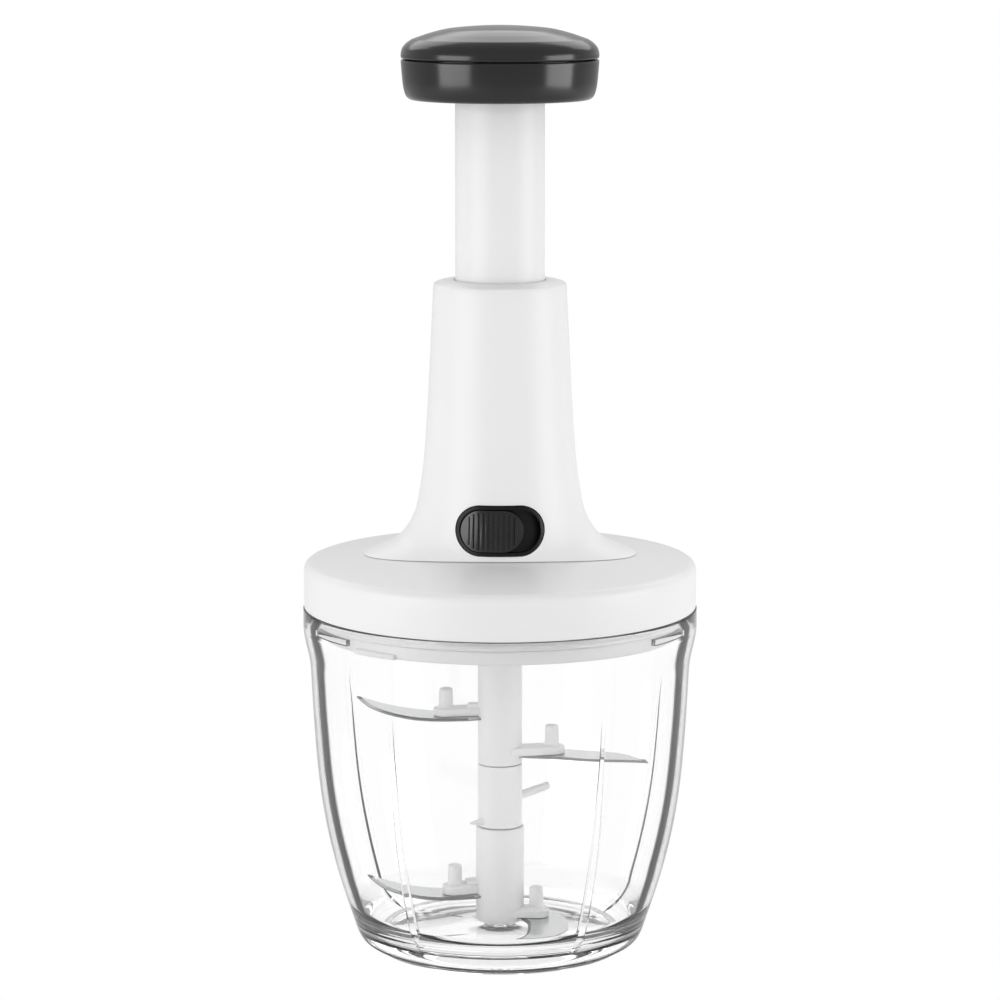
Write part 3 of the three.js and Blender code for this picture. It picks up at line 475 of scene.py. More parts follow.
    @staticmethod
    def upright_circle(name: str, sides: int, radius: float, spot: Vector, fill: str) -> Piece:
        """A circle that faces the front.

        Args:
            name: the new object's name.
            sides: how many sides it has.
            radius: its radius, in millimetres.
            spot: its middle.
            fill: how it is filled, in Blender's words.

        Returns:
            The circle.
        """
        Bench.clear()
        bpy.ops.mesh.primitive_circle_add(
            vertices=sides,
            radius=radius * MM,
            fill_type=fill,
            location=spot * MM,
            rotation=(QUARTER, 0, 0),
        )
        return Bench.settle(Bench.named(name))

    @staticmethod
    def stadium(name: str, length: float, height: float, reach: Point, level: float) -> Piece:
        """A stadium that faces the front, as deep as its reach along Y.

        Args:
            name: the new object's name.
            length: its whole length along X, in millimetres.
            height: its height along Z.
            reach: the nearer and further ends along Y.
            level: the height of its middle.

        Returns:
            The closed prism.
        """
        radius = height * HALF
        straight = length * HALF - radius
        near, far = reach
        piece = Bench.upright_circle(name, STADIUM_SIDES, radius, Vector((0, near, level)), "NGON")
        Bench.edit(piece)
        for side in (1, -1):
            Bench.pick_corners(piece, lambda p: p.x * side > WELD)
            bpy.ops.transform.translate(value=(side * straight * MM, 0, 0))
        bpy.ops.mesh.select_all(action="SELECT")
        Bench.raise_by((0, far - near, 0))
        return piece

    @staticmethod
    def modify(piece: Piece, kind: str, **settings: object) -> None:
        """Adds a modifier, sets it up and applies it.

        Args:
            piece: the piece that gets it.
            kind: Blender's name of the modifier.
            **settings: its settings.
        """
        Bench.take(piece)
        added = piece.modifiers.new(kind.title(), kind)
        for name, value in settings.items():
            setattr(added, name, value)
        bpy.ops.object.modifier_apply(modifier=added.name)

    @staticmethod
    def cut(piece: Piece, other: Piece, how: Cut) -> Piece:
        """Cuts, joins or clips a piece by another, which is used up.

        Args:
            piece: the piece that stays.
            other: the piece that is used up.
            how: what is done.

        Returns:
            The piece that stays.
        """
        Bench.modify(piece, "BOOLEAN", operation=how.value, object=other, solver="EXACT")
        bpy.data.objects.remove(other, do_unlink=True)
        return piece

    @staticmethod
    def soften(piece: Piece, width: float, segments: int = 3, angle: float = 32.0) -> Piece:
        """Rounds the sharp edges of a piece.

        Args:
            piece: the piece.
            width: how far from an edge the rounding starts, in millimetres.
            segments: how many parts the rounding has.
            angle: the least angle of an edge that is rounded, in degrees.

        Returns:
            The piece.
        """
        Bench.modify(
            piece,
            "BEVEL",
            width=width * MM,
            segments=segments,
            limit_method="ANGLE",
            angle_limit=math.radians(angle),
            use_clamp_overlap=True,
            harden_normals=False,
        )
        return piece

    @staticmethod
    def joined(name: str, pieces: list[Piece]) -> Piece:
        """Makes several pieces one object.

        Args:
            name: the name of the whole.
            pieces: the pieces.

        Returns:
            The whole.
        """
        Bench.take(pieces[0])
        for piece in pieces[1:]:
            piece.select_set(True)
        bpy.ops.object.join()
        return Bench.named(name)

    @staticmethod
    def turn(piece: Piece, degrees: float) -> Piece:
        """Turns a piece round Z and leaves its object unturned."""
        piece.rotation_euler.z = math.radians(degrees)
        return Bench.settle(piece)

    @staticmethod
    def smooth(piece: Piece, angle: float = 30.0) -> Piece:
        """Shades a piece smooth below an angle between faces.

        Args:
            piece: the piece.
            angle: the angle, in degrees.

        Returns:
            The piece.
        """
        Bench.take(piece)
        bpy.ops.object.shade_smooth_by_angle(angle=math.radians(angle))
        return piece


@dataclass(frozen=True)
class Lugs:
    """Lugs that stand out from a round wall, with rounded edges."""

    azimuths: tuple[float, ...]
    sweep: float
    low: float
    high: float
    reach: float
    soft: float
    near: float = 0.25  # how near the wall's radius a face has to be

    def is_lug(self, spot: Vector, wall: float) -> bool:
        """Whether a face is pulled out.

        Args:
            spot: the face's centre, in millimetres.
            wall: the wall's radius.

        Returns:
            Whether it lies on the wall where a lug is.
        """
        if not (self.low < spot.z < self.high and abs(spot.xy.length - wall) < self.near):
            return False
        azimuth = azimuth_of(spot)
        return any(between(azimuth, middle) < self.sweep * HALF for middle in self.azimuths)

    def pull(self, piece: Piece, wall: float) -> None:
        """Pulls the lugs out of a wall.

        Args:
            piece: the piece that has the wall.
            wall: the wall's radius, in millimetres.
        """
        Bench.edit(piece)
        Bench.pick(piece, lambda spot, normal: self.is_lug(spot, wall))
        bpy.ops.mesh.extrude_region_shrink_fatten(
            TRANSFORM_OT_shrink_fatten={"value": self.reach * MM, "use_even_offset": False}
        )
        bpy.ops.mesh.region_to_loop()
        bpy.ops.mesh.bevel(offset=self.soft * MM, segments=2, profile=HALF, affect="EDGES")
        Bench.close()


# Finishes
class Shader:
    """A small helper that adds nodes to one material."""

    def __init__(self, name: str) -> None:
        """Starts a material with a Principled shader.

        Args:
            name: the material's name.
        """
        self.material = bpy.data.materials.new(name)
        self.material.use_nodes = True
        self.tree = self.material.node_tree
        self.base = next(n for n in self.tree.nodes if n.type == "BSDF_PRINCIPLED")

    def node(self, kind: str, **settings: object) -> bpy.types.Node:
        """Adds a node.

        Args:
            kind: Blender's name of the node.
            **settings: its settings.

        Returns:
            The node.
        """
        made = self.tree.nodes.new(kind)
        for name, value in settings.items():
            setattr(made, name, value)
        return made

    def link(self, source: bpy.types.NodeSocket, target: bpy.types.NodeSocket) -> None:
        """Joins two sockets."""
        self.tree.links.new(source, target)

    def feed(self, name: str, value: bpy.types.NodeSocket) -> None:
        """Leads a value into an input of the Principled shader."""
        self.link(value, self.base.inputs[name])

    def give(self, values: dict[str, float | tuple[float, ...]]) -> None:
        """Sets inputs of the Principled shader."""
        for name, value in values.items():
            self.base.inputs[name].default_value = value

    def sum_of(self, rule: str, *values: float | bpy.types.NodeSocket) -> bpy.types.NodeSocket:
        """Works out one sum.

        Args:
            rule: Blender's name of the operation.
            *values: numbers or sockets.

        Returns:
            The result.
        """
        made = self.node("ShaderNodeMath", operation=rule)
        for socket, value in zip(made.inputs, values):
            if isinstance(value, float):
                socket.default_value = value
            else:
                self.link(value, socket)
        return made.outputs[0]

    def place(self, stretch: Row = (1.0, 1.0, 1.0)) -> bpy.types.NodeSocket:
        """The place on the object.

        Args:
            stretch: how far it is stretched along each axis.

        Returns:
            The place.
        """
        spot = self.node("ShaderNodeTexCoord").outputs["Object"]
        mapping = self.node("ShaderNodeMapping")
        mapping.inputs["Scale"].default_value = stretch
        self.link(spot, mapping.inputs["Vector"])
        return mapping.outputs["Vector"]

    def noise(
        self, where: bpy.types.NodeSocket, scale: float, detail: float = 3.0
    ) -> bpy.types.NodeSocket:
        """Noise at a place.

        Args:
            where: the place.
            scale: patches per metre.
            detail: how many finer layers it has.

        Returns:
            The noise, from 0 to 1.
        """
        made = self.node("ShaderNodeTexNoise")
        made.inputs["Scale"].default_value = scale
        made.inputs["Detail"].default_value = detail
        self.link(where, made.inputs["Vector"])
        return made.outputs["Fac"]

    def spread(self, value: bpy.types.NodeSocket, low: float, high: float) -> bpy.types.NodeSocket:
        """Maps noise to the range from low to high.

        Args:
            value: noise from 0 to 1.
            low: what dark noise gives.
            high: what light noise gives.

        Returns:
            The mapped value.
        """
        made = self.node("ShaderNodeMapRange")
        made.inputs["From Min"].default_value = NOISE_LOW
        made.inputs["From Max"].default_value = NOISE_HIGH
        made.inputs["To Min"].default_value = low
        made.inputs["To Max"].default_value = high
        self.link(value, made.inputs["Value"])
        return made.outputs["Result"]

    def paint(self, share: bpy.types.NodeSocket, dark: Row, light: Row) -> None:
        """Colours the surface between two colours.

        Args:
            share: noise from 0 to 1.
            dark: the colour where it is dark.
            light: the colour where it is light.
        """
        spread = self.spread(share, 0.0, 1.0)
        made = self.node("ShaderNodeMix", data_type="RGBA")
        made.inputs["A"].default_value = (*dark, 1.0)
        made.inputs["B"].default_value = (*light, 1.0)
        self.link(spread, made.inputs["Factor"])
        self.feed("Base Color", made.outputs["Result"])

    def bump(self, height: bpy.types.NodeSocket, strength: float, distance: float) -> None:
        """Gives the surface relief.

        Args:
            height: the relief.
            strength: how strong it is.
            distance: how deep it is, in millimetres.
        """
        made = self.node("ShaderNodeBump")
        made.inputs["Strength"].default_value = strength
        made.inputs["Distance"].default_value = distance * MM
        self.link(height, made.inputs["Height"])
        self.feed("Normal", made.outputs["Normal"])


@dataclass(frozen=True)
class MouldedPlastic:
    """An opaque moulded plastic with a fine grain and faint patches."""

    name: str
    slot: Slot
    colour: Row
    shade: Row
    gloss_rough: float
    matt_rough: float
    grain: float = 3200.0  # per metre
    grain_strength: float = 0.06
    grain_depth: float = 0.05
    patches: float = 45.0  # per metre
    smudges: float = 3.1  # as shares of the patches
    shine: float = 0.5
    glow: float = 0.0  # stands in for the light that the clear wall leads to the rim

    def made(self) -> bpy.types.Material:
        """Makes the material.

        Returns:
            The material.
        """
        shader = Shader(self.name)
        where = shader.place()
        shader.paint(shader.noise(where, self.patches, 4.0), self.shade, self.colour)
        smudges = shader.noise(where, self.patches * self.smudges, 5.0)
        shader.feed("Roughness", shader.spread(smudges, self.gloss_rough, self.matt_rough))
        grain = shader.noise(where, self.grain, 2.0)
        shader.bump(grain, self.grain_strength, self.grain_depth)
        shader.give({"IOR": PLASTIC_INDEX, "Specular IOR Level": self.shine})
        shader.give({"Emission Color": (1.0, 1.0, 1.0, 1.0), "Emission Strength": self.glow})
        return shader.material


@dataclass(frozen=True)
class ClearPlastic:
    """A clear moulded plastic with painted shade: its colour and the light it lets through fall
    off where it is seen at a grazing angle, which draws the dark lines of its edges.

    The grazing measure is the sine of the angle on the air side. Above 1 the plastic mirrors from
    within.
    """

    name: str
    slot: Slot
    stops: tuple[Point, ...]  # the grazing measure and the share of light let through there
    index: float = PLASTIC_INDEX
    top: float = 1.6  # the measure at the ramp's end
    scuffs: float = 90.0  # per metre
    scuffed_rough: float = 0.02

    def grazing(self, shader: Shader) -> bpy.types.NodeSocket:
        """The grazing measure, as a share of the ramp's length.

        Args:
            shader: the material's shader.

        Returns:
            The share.
        """
        weight = shader.node("ShaderNodeLayerWeight")
        weight.inputs["Blend"].default_value = HALF
        cosine = shader.sum_of("SUBTRACT", 1.0, weight.outputs["Facing"])
        square = shader.sum_of("MULTIPLY", cosine, cosine)
        sine = shader.sum_of("SQRT", shader.sum_of("SUBTRACT", 1.0, square))
        within = shader.node("ShaderNodeNewGeometry").outputs["Backfacing"]
        scale = shader.sum_of("MULTIPLY_ADD", within, (self.index - 1) / self.top, 1 / self.top)
        return shader.sum_of("MULTIPLY", sine, scale)

    def made(self) -> bpy.types.Material:
        """Makes the material.

        Returns:
            The material.
        """
        shader = Shader(self.name)
        where = shader.place()
        # Painted shade: the ramp darkens the base colour and the light let through by the viewing
        # angle
        node = shader.node("ShaderNodeValToRGB")
        shader.link(self.grazing(shader), node.inputs["Fac"])
        ramp = node.color_ramp
        while len(ramp.elements) < len(self.stops):
            ramp.elements.new(HALF)
        for element, (measure, share) in zip(ramp.elements, self.stops):
            element.position = measure / self.top
            element.color = (share, share, share, 1.0)
        shade = node.outputs["Color"]
        shader.feed("Base Color", shader.sum_of("MULTIPLY", shade, shade))
        shader.feed("Transmission Weight", shade)
        scuffs = shader.noise(where, self.scuffs, 6.0)
        shader.feed("Roughness", shader.spread(scuffs, 0.0, self.scuffed_rough))
        shader.give({"IOR": self.index})
        return shader.material


@dataclass(frozen=True)
class GroundSteel:
    """Steel with fine grinding lines along one axis."""

    name: str
    slot: Slot
    colour: Row
    shade: Row
    polished: float
    ground: float
    stretch: Row = (30.0, 1.0, 30.0)
    lines: float = 260.0  # per metre, before the stretch
    relief: float = 0.03
    depth: float = 0.02

    def made(self) -> bpy.types.Material:
        """Makes the material.

        Returns:
            The material.
        """
        shader = Shader(self.name)
        lines = shader.noise(shader.place(self.stretch), self.lines, 4.0)
        shader.paint(lines, self.shade, self.colour)
        shader.feed("Roughness", shader.spread(lines, self.polished, self.ground))
        shader.bump(lines, self.relief, self.depth)
        shader.give({"Metallic": 1.0})
        return shader.material


@dataclass(frozen=True)
class SoftSilicone:
    """A milky silicone with a soft, dusty surface."""

    name: str
    slot: Slot
    colour: Row
    shade: Row
    rough: float = 0.55
    dusty_rough: float = 0.7
    clouds: float = 120.0  # per metre
    dust: float = 900.0  # per metre
    relief: float = 0.1
    depth: float = 0.03

    def made(self) -> bpy.types.Material:
        """Makes the material.

        Returns:
            The material.
        """
        shader = Shader(self.name)
        where = shader.place()
        shader.paint(shader.noise(where, self.clouds, 4.0), self.shade, self.colour)
        dust = shader.noise(where, self.dust)
        shader.feed("Roughness", shader.spread(dust, self.rough, self.dusty_rough))
        shader.bump(dust, self.relief, self.depth)
        shader.give({"Subsurface Weight": HALF, "Subsurface Radius": (1.0, 1.0, 1.0)})
        shader.give({"Subsurface Scale": 2 * MM})
        return shader.material


Finish = MouldedPlastic | ClearPlastic | GroundSteel | SoftSilicone

WHITE = MouldedPlastic(
    "white_moulding", Slot.WHITE, (0.83, 0.83, 0.828), (0.82, 0.82, 0.818), 0.34, 0.36,
    grain_strength=0.015, shine=0.3,
)
# The plug's white glows faintly: painted light for the light that the clear wall leads to the rim
INNER_WHITE = MouldedPlastic(
    "inner_white_moulding", Slot.WHITE, (0.76, 0.76, 0.758), (0.75, 0.75, 0.748), 0.38, 0.42,
    grain_strength=0.015, glow=0.1,
)
STEM_GREY = MouldedPlastic(
    "stem_grey_moulding", Slot.GREY, (0.86, 0.86, 0.86), (0.84, 0.84, 0.84), 0.34, 0.4,
    grain_strength=0.02,
)
INNER_GREY = MouldedPlastic(
    "inner_grey_moulding", Slot.GREY, (0.62, 0.62, 0.61), (0.56, 0.56, 0.55), 0.4, 0.5
)
KNOB_BLACK = MouldedPlastic(
    "knob_black_moulding", Slot.BLACK, (0.012, 0.0122, 0.013), (0.01, 0.0102, 0.011), 0.16, 0.2,
    grain_strength=0.03,
)
LOCK_BLACK = MouldedPlastic(
    "lock_black_moulding", Slot.BLACK, (0.011, 0.011, 0.012), (0.008, 0.008, 0.009), 0.2, 0.26,
    grain_strength=0.05,
)
BEZEL_BLACK = MouldedPlastic(
    "bezel_black_moulding", Slot.BLACK, (0.006, 0.006, 0.0065), (0.005, 0.005, 0.0055), 0.3, 0.36,
    shine=0.2,
)
# The bowl's outside: painted shade that darkens it where it is seen edge-on and at a grazing angle
# from within
BOWL_OUTSIDE = ClearPlastic(
    "bowl_outside_clear",
    Slot.CLEAR,
    ((0.0, 1.0), (0.99, 1.0), (1.0, 0.3), (1.01, 0.98), (1.3, 0.98), (1.49, 0.5)),
)
# The bowl's inside: painted shade in black bands where it is seen nearly edge-on and where it
# starts to mirror from within
BOWL_INSIDE = ClearPlastic(
    "bowl_inside_clear",
    Slot.CLEAR,
    ((0.0, 1.0), (0.968, 1.0), (0.978, 0.0), (1.006, 0.0), (1.016, 1.0)),
)
BLADE_STEEL = GroundSteel(
    "blade_ground_steel", Slot.STEEL, (0.66, 0.665, 0.67), (0.6, 0.605, 0.61), 0.2, 0.26
)
# A darker steel for the blades' sides and ground bevels: painted shade for the dark surroundings
# that they mirror
SHADED_BEVEL_STEEL = GroundSteel(
    "bevel_painted_shade_steel", Slot.STEEL, (0.3, 0.305, 0.31), (0.2, 0.205, 0.21), 0.24, 0.32
)
WORKS_STEEL = GroundSteel(
    "works_drawn_steel", Slot.STEEL, (0.62, 0.63, 0.64), (0.5, 0.51, 0.52), 0.2, 0.34,
    (6.0, 6.0, 1.0),
)
SEAL_SILICONE = SoftSilicone(
    "milky_silicone", Slot.SILICONE, (0.95, 0.955, 0.955), (0.92, 0.925, 0.925)
)


class Shop:
    """Dresses pieces and sets them on their bodies."""

    def __init__(self) -> None:
        """Starts with no material made."""
        self.materials: dict[str, bpy.types.Material] = {}

    def material(self, finish: Finish) -> bpy.types.Material:
        """The one material of a finish.

        Args:
            finish: the finish.

        Returns:
            The material, made once.
        """
        if finish.name not in self.materials:
            self.materials[finish.name] = finish.made()
        return self.materials[finish.name]

    def fit(self, piece: Piece, finish: Finish, body: Body, *nodes: str) -> Piece:
        """Dresses a new piece and lets it stand for its nodes.

        Args:
            piece: the new piece.
            finish: its finish.
            body: the body that it rides on.
            *nodes: the nodes that it stands for.

        Returns:
            The piece.
        """
        piece.data.materials.clear()
        piece.data.materials.append(self.material(finish))
        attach(piece, body.value)
        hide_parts(*nodes)
        log.info("%s: %d faces on %s", piece.name, len(piece.data.polygons), body.value)
        return piece

    def second(self, piece: Piece, finish: Finish, test: FaceTest) -> None:
        """Gives some faces of a dressed piece a second finish.

        Args:
            piece: the dressed piece.
            finish: the second finish.
            test: says of a face's centre, in millimetres, and its normal whether it gets it.
        """
        piece.data.materials.append(self.material(finish))
        for face in piece.data.polygons:
            if test(face.center / MM, face.normal):
                face.material_index = 1

    def dress(self, finish: Finish, *nodes: str) -> None:
        """Gives kept nodes their finish.

        Args:
            finish: their finish.
            *nodes: the nodes' names.
        """
        for node in nodes:
            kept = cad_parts[node]
            kept.data.materials.clear()
            kept.data.materials.append(self.material(finish))
            log.info("%s: kept, in %s", node, finish.name)


# The sub-assemblies
@dataclass
class Bowl:
    """The clear bowl with its thick foot, inner ridges and lugs."""

    sides: int = 540
    height: float = 115.3
    rim_radius: float = 65.6
    rim_wall: float = 2.6
    rim_soft: float = 0.5
    lip_height: float = 7.0
    neck_radius: float = 63.4
    neck_height: float = 96.5
    side_steps: int = 96
    side_easing: int = 24
    foot_radius: float = 42.3
    foot_inside: float = 38.0
    foot_depth: float = 3.0
    floor_top: float = 6.2
    floor_radius: float = 38.0
    floor_normal: float = 0.3  # the least rise of a floor face's normal
    boss_radius: float = 5.0
    boss_top: float = 7.0
    pin_hole: float = 2.2
    pin_hole_base: float = 5.4
    ridge_azimuths: tuple[float, ...] = (-125.0, -57.0, 22.0, 90.0, 150.0)
    ridge_width: float = 2.8
    ridge_depth: float = 1.3
    ridge_fade: float = 45.0  # how far below its top it starts to sink
    ridge_sunk: float = 0.3  # how deep its top lies in the wall
    ridge_bed: float = 0.9  # how deep its back lies in the wall
    ridge_narrowing: float = 0.6  # the share of its width that its top lacks
    ridge_steps: int = 24
    lugs: Lugs = Lugs((90.0, 210.0, 330.0), 18.0, 109.4, 111.4, 1.6, 0.3)
    # The outer side below the neck, as shares of the neck's radius and height
    side: tuple[Point, ...] = (
        (0.7, 0.014),
        (0.724, 0.021),
        (0.742, 0.031),
        (0.76, 0.052),
        (0.776, 0.088),
        (0.809, 0.15),
        (0.875, 0.285),
        (0.924, 0.429),
        (0.957, 0.57),
        (0.975, 0.715),
        (0.989, 0.858),
        (0.995, 0.955),
    )
    # The collar, as how far it lies within the rim and below the top
    collar: tuple[Point, ...] = (
        (2.3, 18.8),
        (1.7, 15.8),
        (1.0, 12.8),
        (0.4, 10.0),
        (0.08, 7.8),
        (0.0, 6.4),
    )
    # The wall's thickness by height
    walls: tuple[Point, ...] = ((14.0, 2.7), (30.0, 2.8), (55.0, 2.7), (80.0, 2.6), (114.7, 2.6))
    # The inner corner, as steps from the wall's end and from the floor's edge
    corner: tuple[Point, Point] = ((-2.6, -3.6), (4.2, 1.7))
    # The ridge's root, as steps from the floor's edge
    root_face: tuple[Point, ...] = ((-0.5, -0.2), (3.8, 2.7), (6.9, 4.9))
    root_back: tuple[Point, ...] = ((1.0, -0.5), (5.0, 1.0), (8.8, 3.8))

    def is_inside(self, spot: Vector, normal: Vector) -> bool:
        """Whether a face lines the bowl's inside.

        Args:
            spot: the face's centre, in millimetres.
            normal: its direction.

        Returns:
            Whether it faces the food.
        """
        inward = normal.xy.dot(spot.xy) < 0
        on_floor = spot.xy.length < self.floor_radius or normal.z > self.floor_normal
        return spot.z > self.pin_hole_base and (inward or on_floor)

    def outer_side(self) -> list[Point]:
        """The outer side from the foot to the rim, as a smooth line.

        Returns:
            Radius and height of each point.
        """
        spots = [(r * self.neck_radius, z * self.neck_height) for r, z in self.side]
        spots += [(self.rim_radius - slack, self.height - drop) for slack, drop in self.collar]
        return eased(flowing(spots, self.side_steps), self.side_easing)

    def inner_side(self) -> list[Point]:
        """The inner side, set off from the outer one by the wall."""
        return set_off(self.outer_side(), lambda height: read_off(self.walls, height)[0])

    def outline(self) -> list[Point]:
        """The bowl's outline: up the outside, over the rim and down the inside.

        Returns:
            Radius and height of each point, from the axis to the axis.
        """
        outer = self.outer_side()
        low, high = self.walls[0][0], self.height - self.lip_height
        inner = [spot for spot in reversed(self.inner_side()) if low < spot[1] < high]
        rim, inside = self.rim_radius, self.rim_radius - self.rim_wall
        lip = rounded(
            [
                (rim, self.lugs.low, 0),
                (rim, self.height, self.rim_soft),
                (inside, self.height, self.rim_soft),
                (inside, self.lugs.high, 0),
                (inside, self.lugs.low, 0),
            ],
            5,
        )
        wall_end, floor_edge = inner[-1], (self.floor_radius, self.floor_top)
        off_wall, off_floor = self.corner
        spots = [wall_end, moved(wall_end, off_wall), moved(floor_edge, off_floor), floor_edge]
        corner = flowing(spots, 12)[1:-1]
        foot = rounded(
            [
                (0, self.foot_depth, 0),
                (self.foot_inside, self.foot_depth, 0.6),
                (self.foot_inside, 0, 0.8),
                (self.foot_radius, 0, 1.2),
                (*outer[0], 0),
            ]
        )
        middle = rounded(
            [
                (*floor_edge, 0),
                (self.boss_radius, self.floor_top, 0.4),
                (self.boss_radius, self.boss_top, 0.3),
                (self.pin_hole, self.boss_top, 0.2),
                (self.pin_hole, self.pin_hole_base, 0),
                (0, self.pin_hole_base, 0),
            ],
            3,
        )
        return [*foot, *outer[1:], *lip, *inner, *corner, *middle]

    def ridge(self) -> Piece:
        """One upright ridge on the X axis: a strip that thins and sinks in towards its top.

        Returns:
            The closed strip.
        """
        inner = [(z, r) for r, z in self.inner_side()]
        low, high = self.walls[0][0], self.neck_height
        steps = self.ridge_steps
        levels = [low + (high - low) * i / steps for i in range(steps + 1)]
        floor_edge = (self.floor_radius, self.floor_top)
        face = [moved(floor_edge, step) for step in self.root_face]
        back = [moved(floor_edge, step) for step in self.root_back]
        for level in levels:
            (radius,) = read_off(inner, level)
            share = min(1.0, (high - level) / self.ridge_fade)
            rise = (self.ridge_depth + self.ridge_sunk) * share
            face.append((radius + self.ridge_sunk - rise, level))
            back.append((radius + self.ridge_bed, level))
        half = self.ridge_width * HALF
        strip = Bench.plate("ridge", [*face, *reversed(back)], -half, half)
        strip.rotation_euler.x = QUARTER
        Bench.edit(Bench.settle(strip))
        for level in levels:
            Bench.pick_corners(strip, lambda p: abs(p.z - level) < SAME_LEVEL)
            across = 1 - self.ridge_narrowing * (level - low) / (high - low)
            bpy.ops.transform.resize(value=(1, across, 1), center_override=(0, 0, 0))
        Bench.close()
        return strip

    def add_ridges(self, piece: Piece) -> None:
        """Joins a copy of the ridge to the inner wall at each of its places.

        Args:
            piece: the bowl.
        """
        ridges = [self.ridge()]
        for _ in self.ridge_azimuths[1:]:
            Bench.take(ridges[0])
            bpy.ops.object.duplicate()
            ridges.append(bpy.context.active_object)
        for ridge, azimuth in zip(ridges, self.ridge_azimuths):
            Bench.turn(ridge, azimuth)
        Bench.cut(piece, Bench.joined("ridges", ridges), Cut.ADD)

    def build(self, shop: Shop) -> None:
        """Builds and dresses the bowl and its pin.

        Args:
            shop: dresses the pieces and sets them on their bodies.
        """
        piece = Bench.turned("clear_bowl", self.outline(), self.sides)
        self.add_ridges(piece)
        self.lugs.pull(piece, self.rim_radius - self.rim_wall)
        shop.fit(Bench.smooth(piece, 35), BOWL_OUTSIDE, Body.BOWL, "bowl")
        shop.second(piece, BOWL_INSIDE, self.is_inside)
        shop.dress(WORKS_STEEL, "pivot_pin")


@dataclass
class Carrier:
    """One arm of the cutter with its post and its blade."""

    name: str
    top: float
    arm_reach: float
    blade_reach: float
    azimuth: float
    stem_radius: float
    riser: float = 0.0  # how far the arm's root stands up beside the stem
    hooked: bool = False


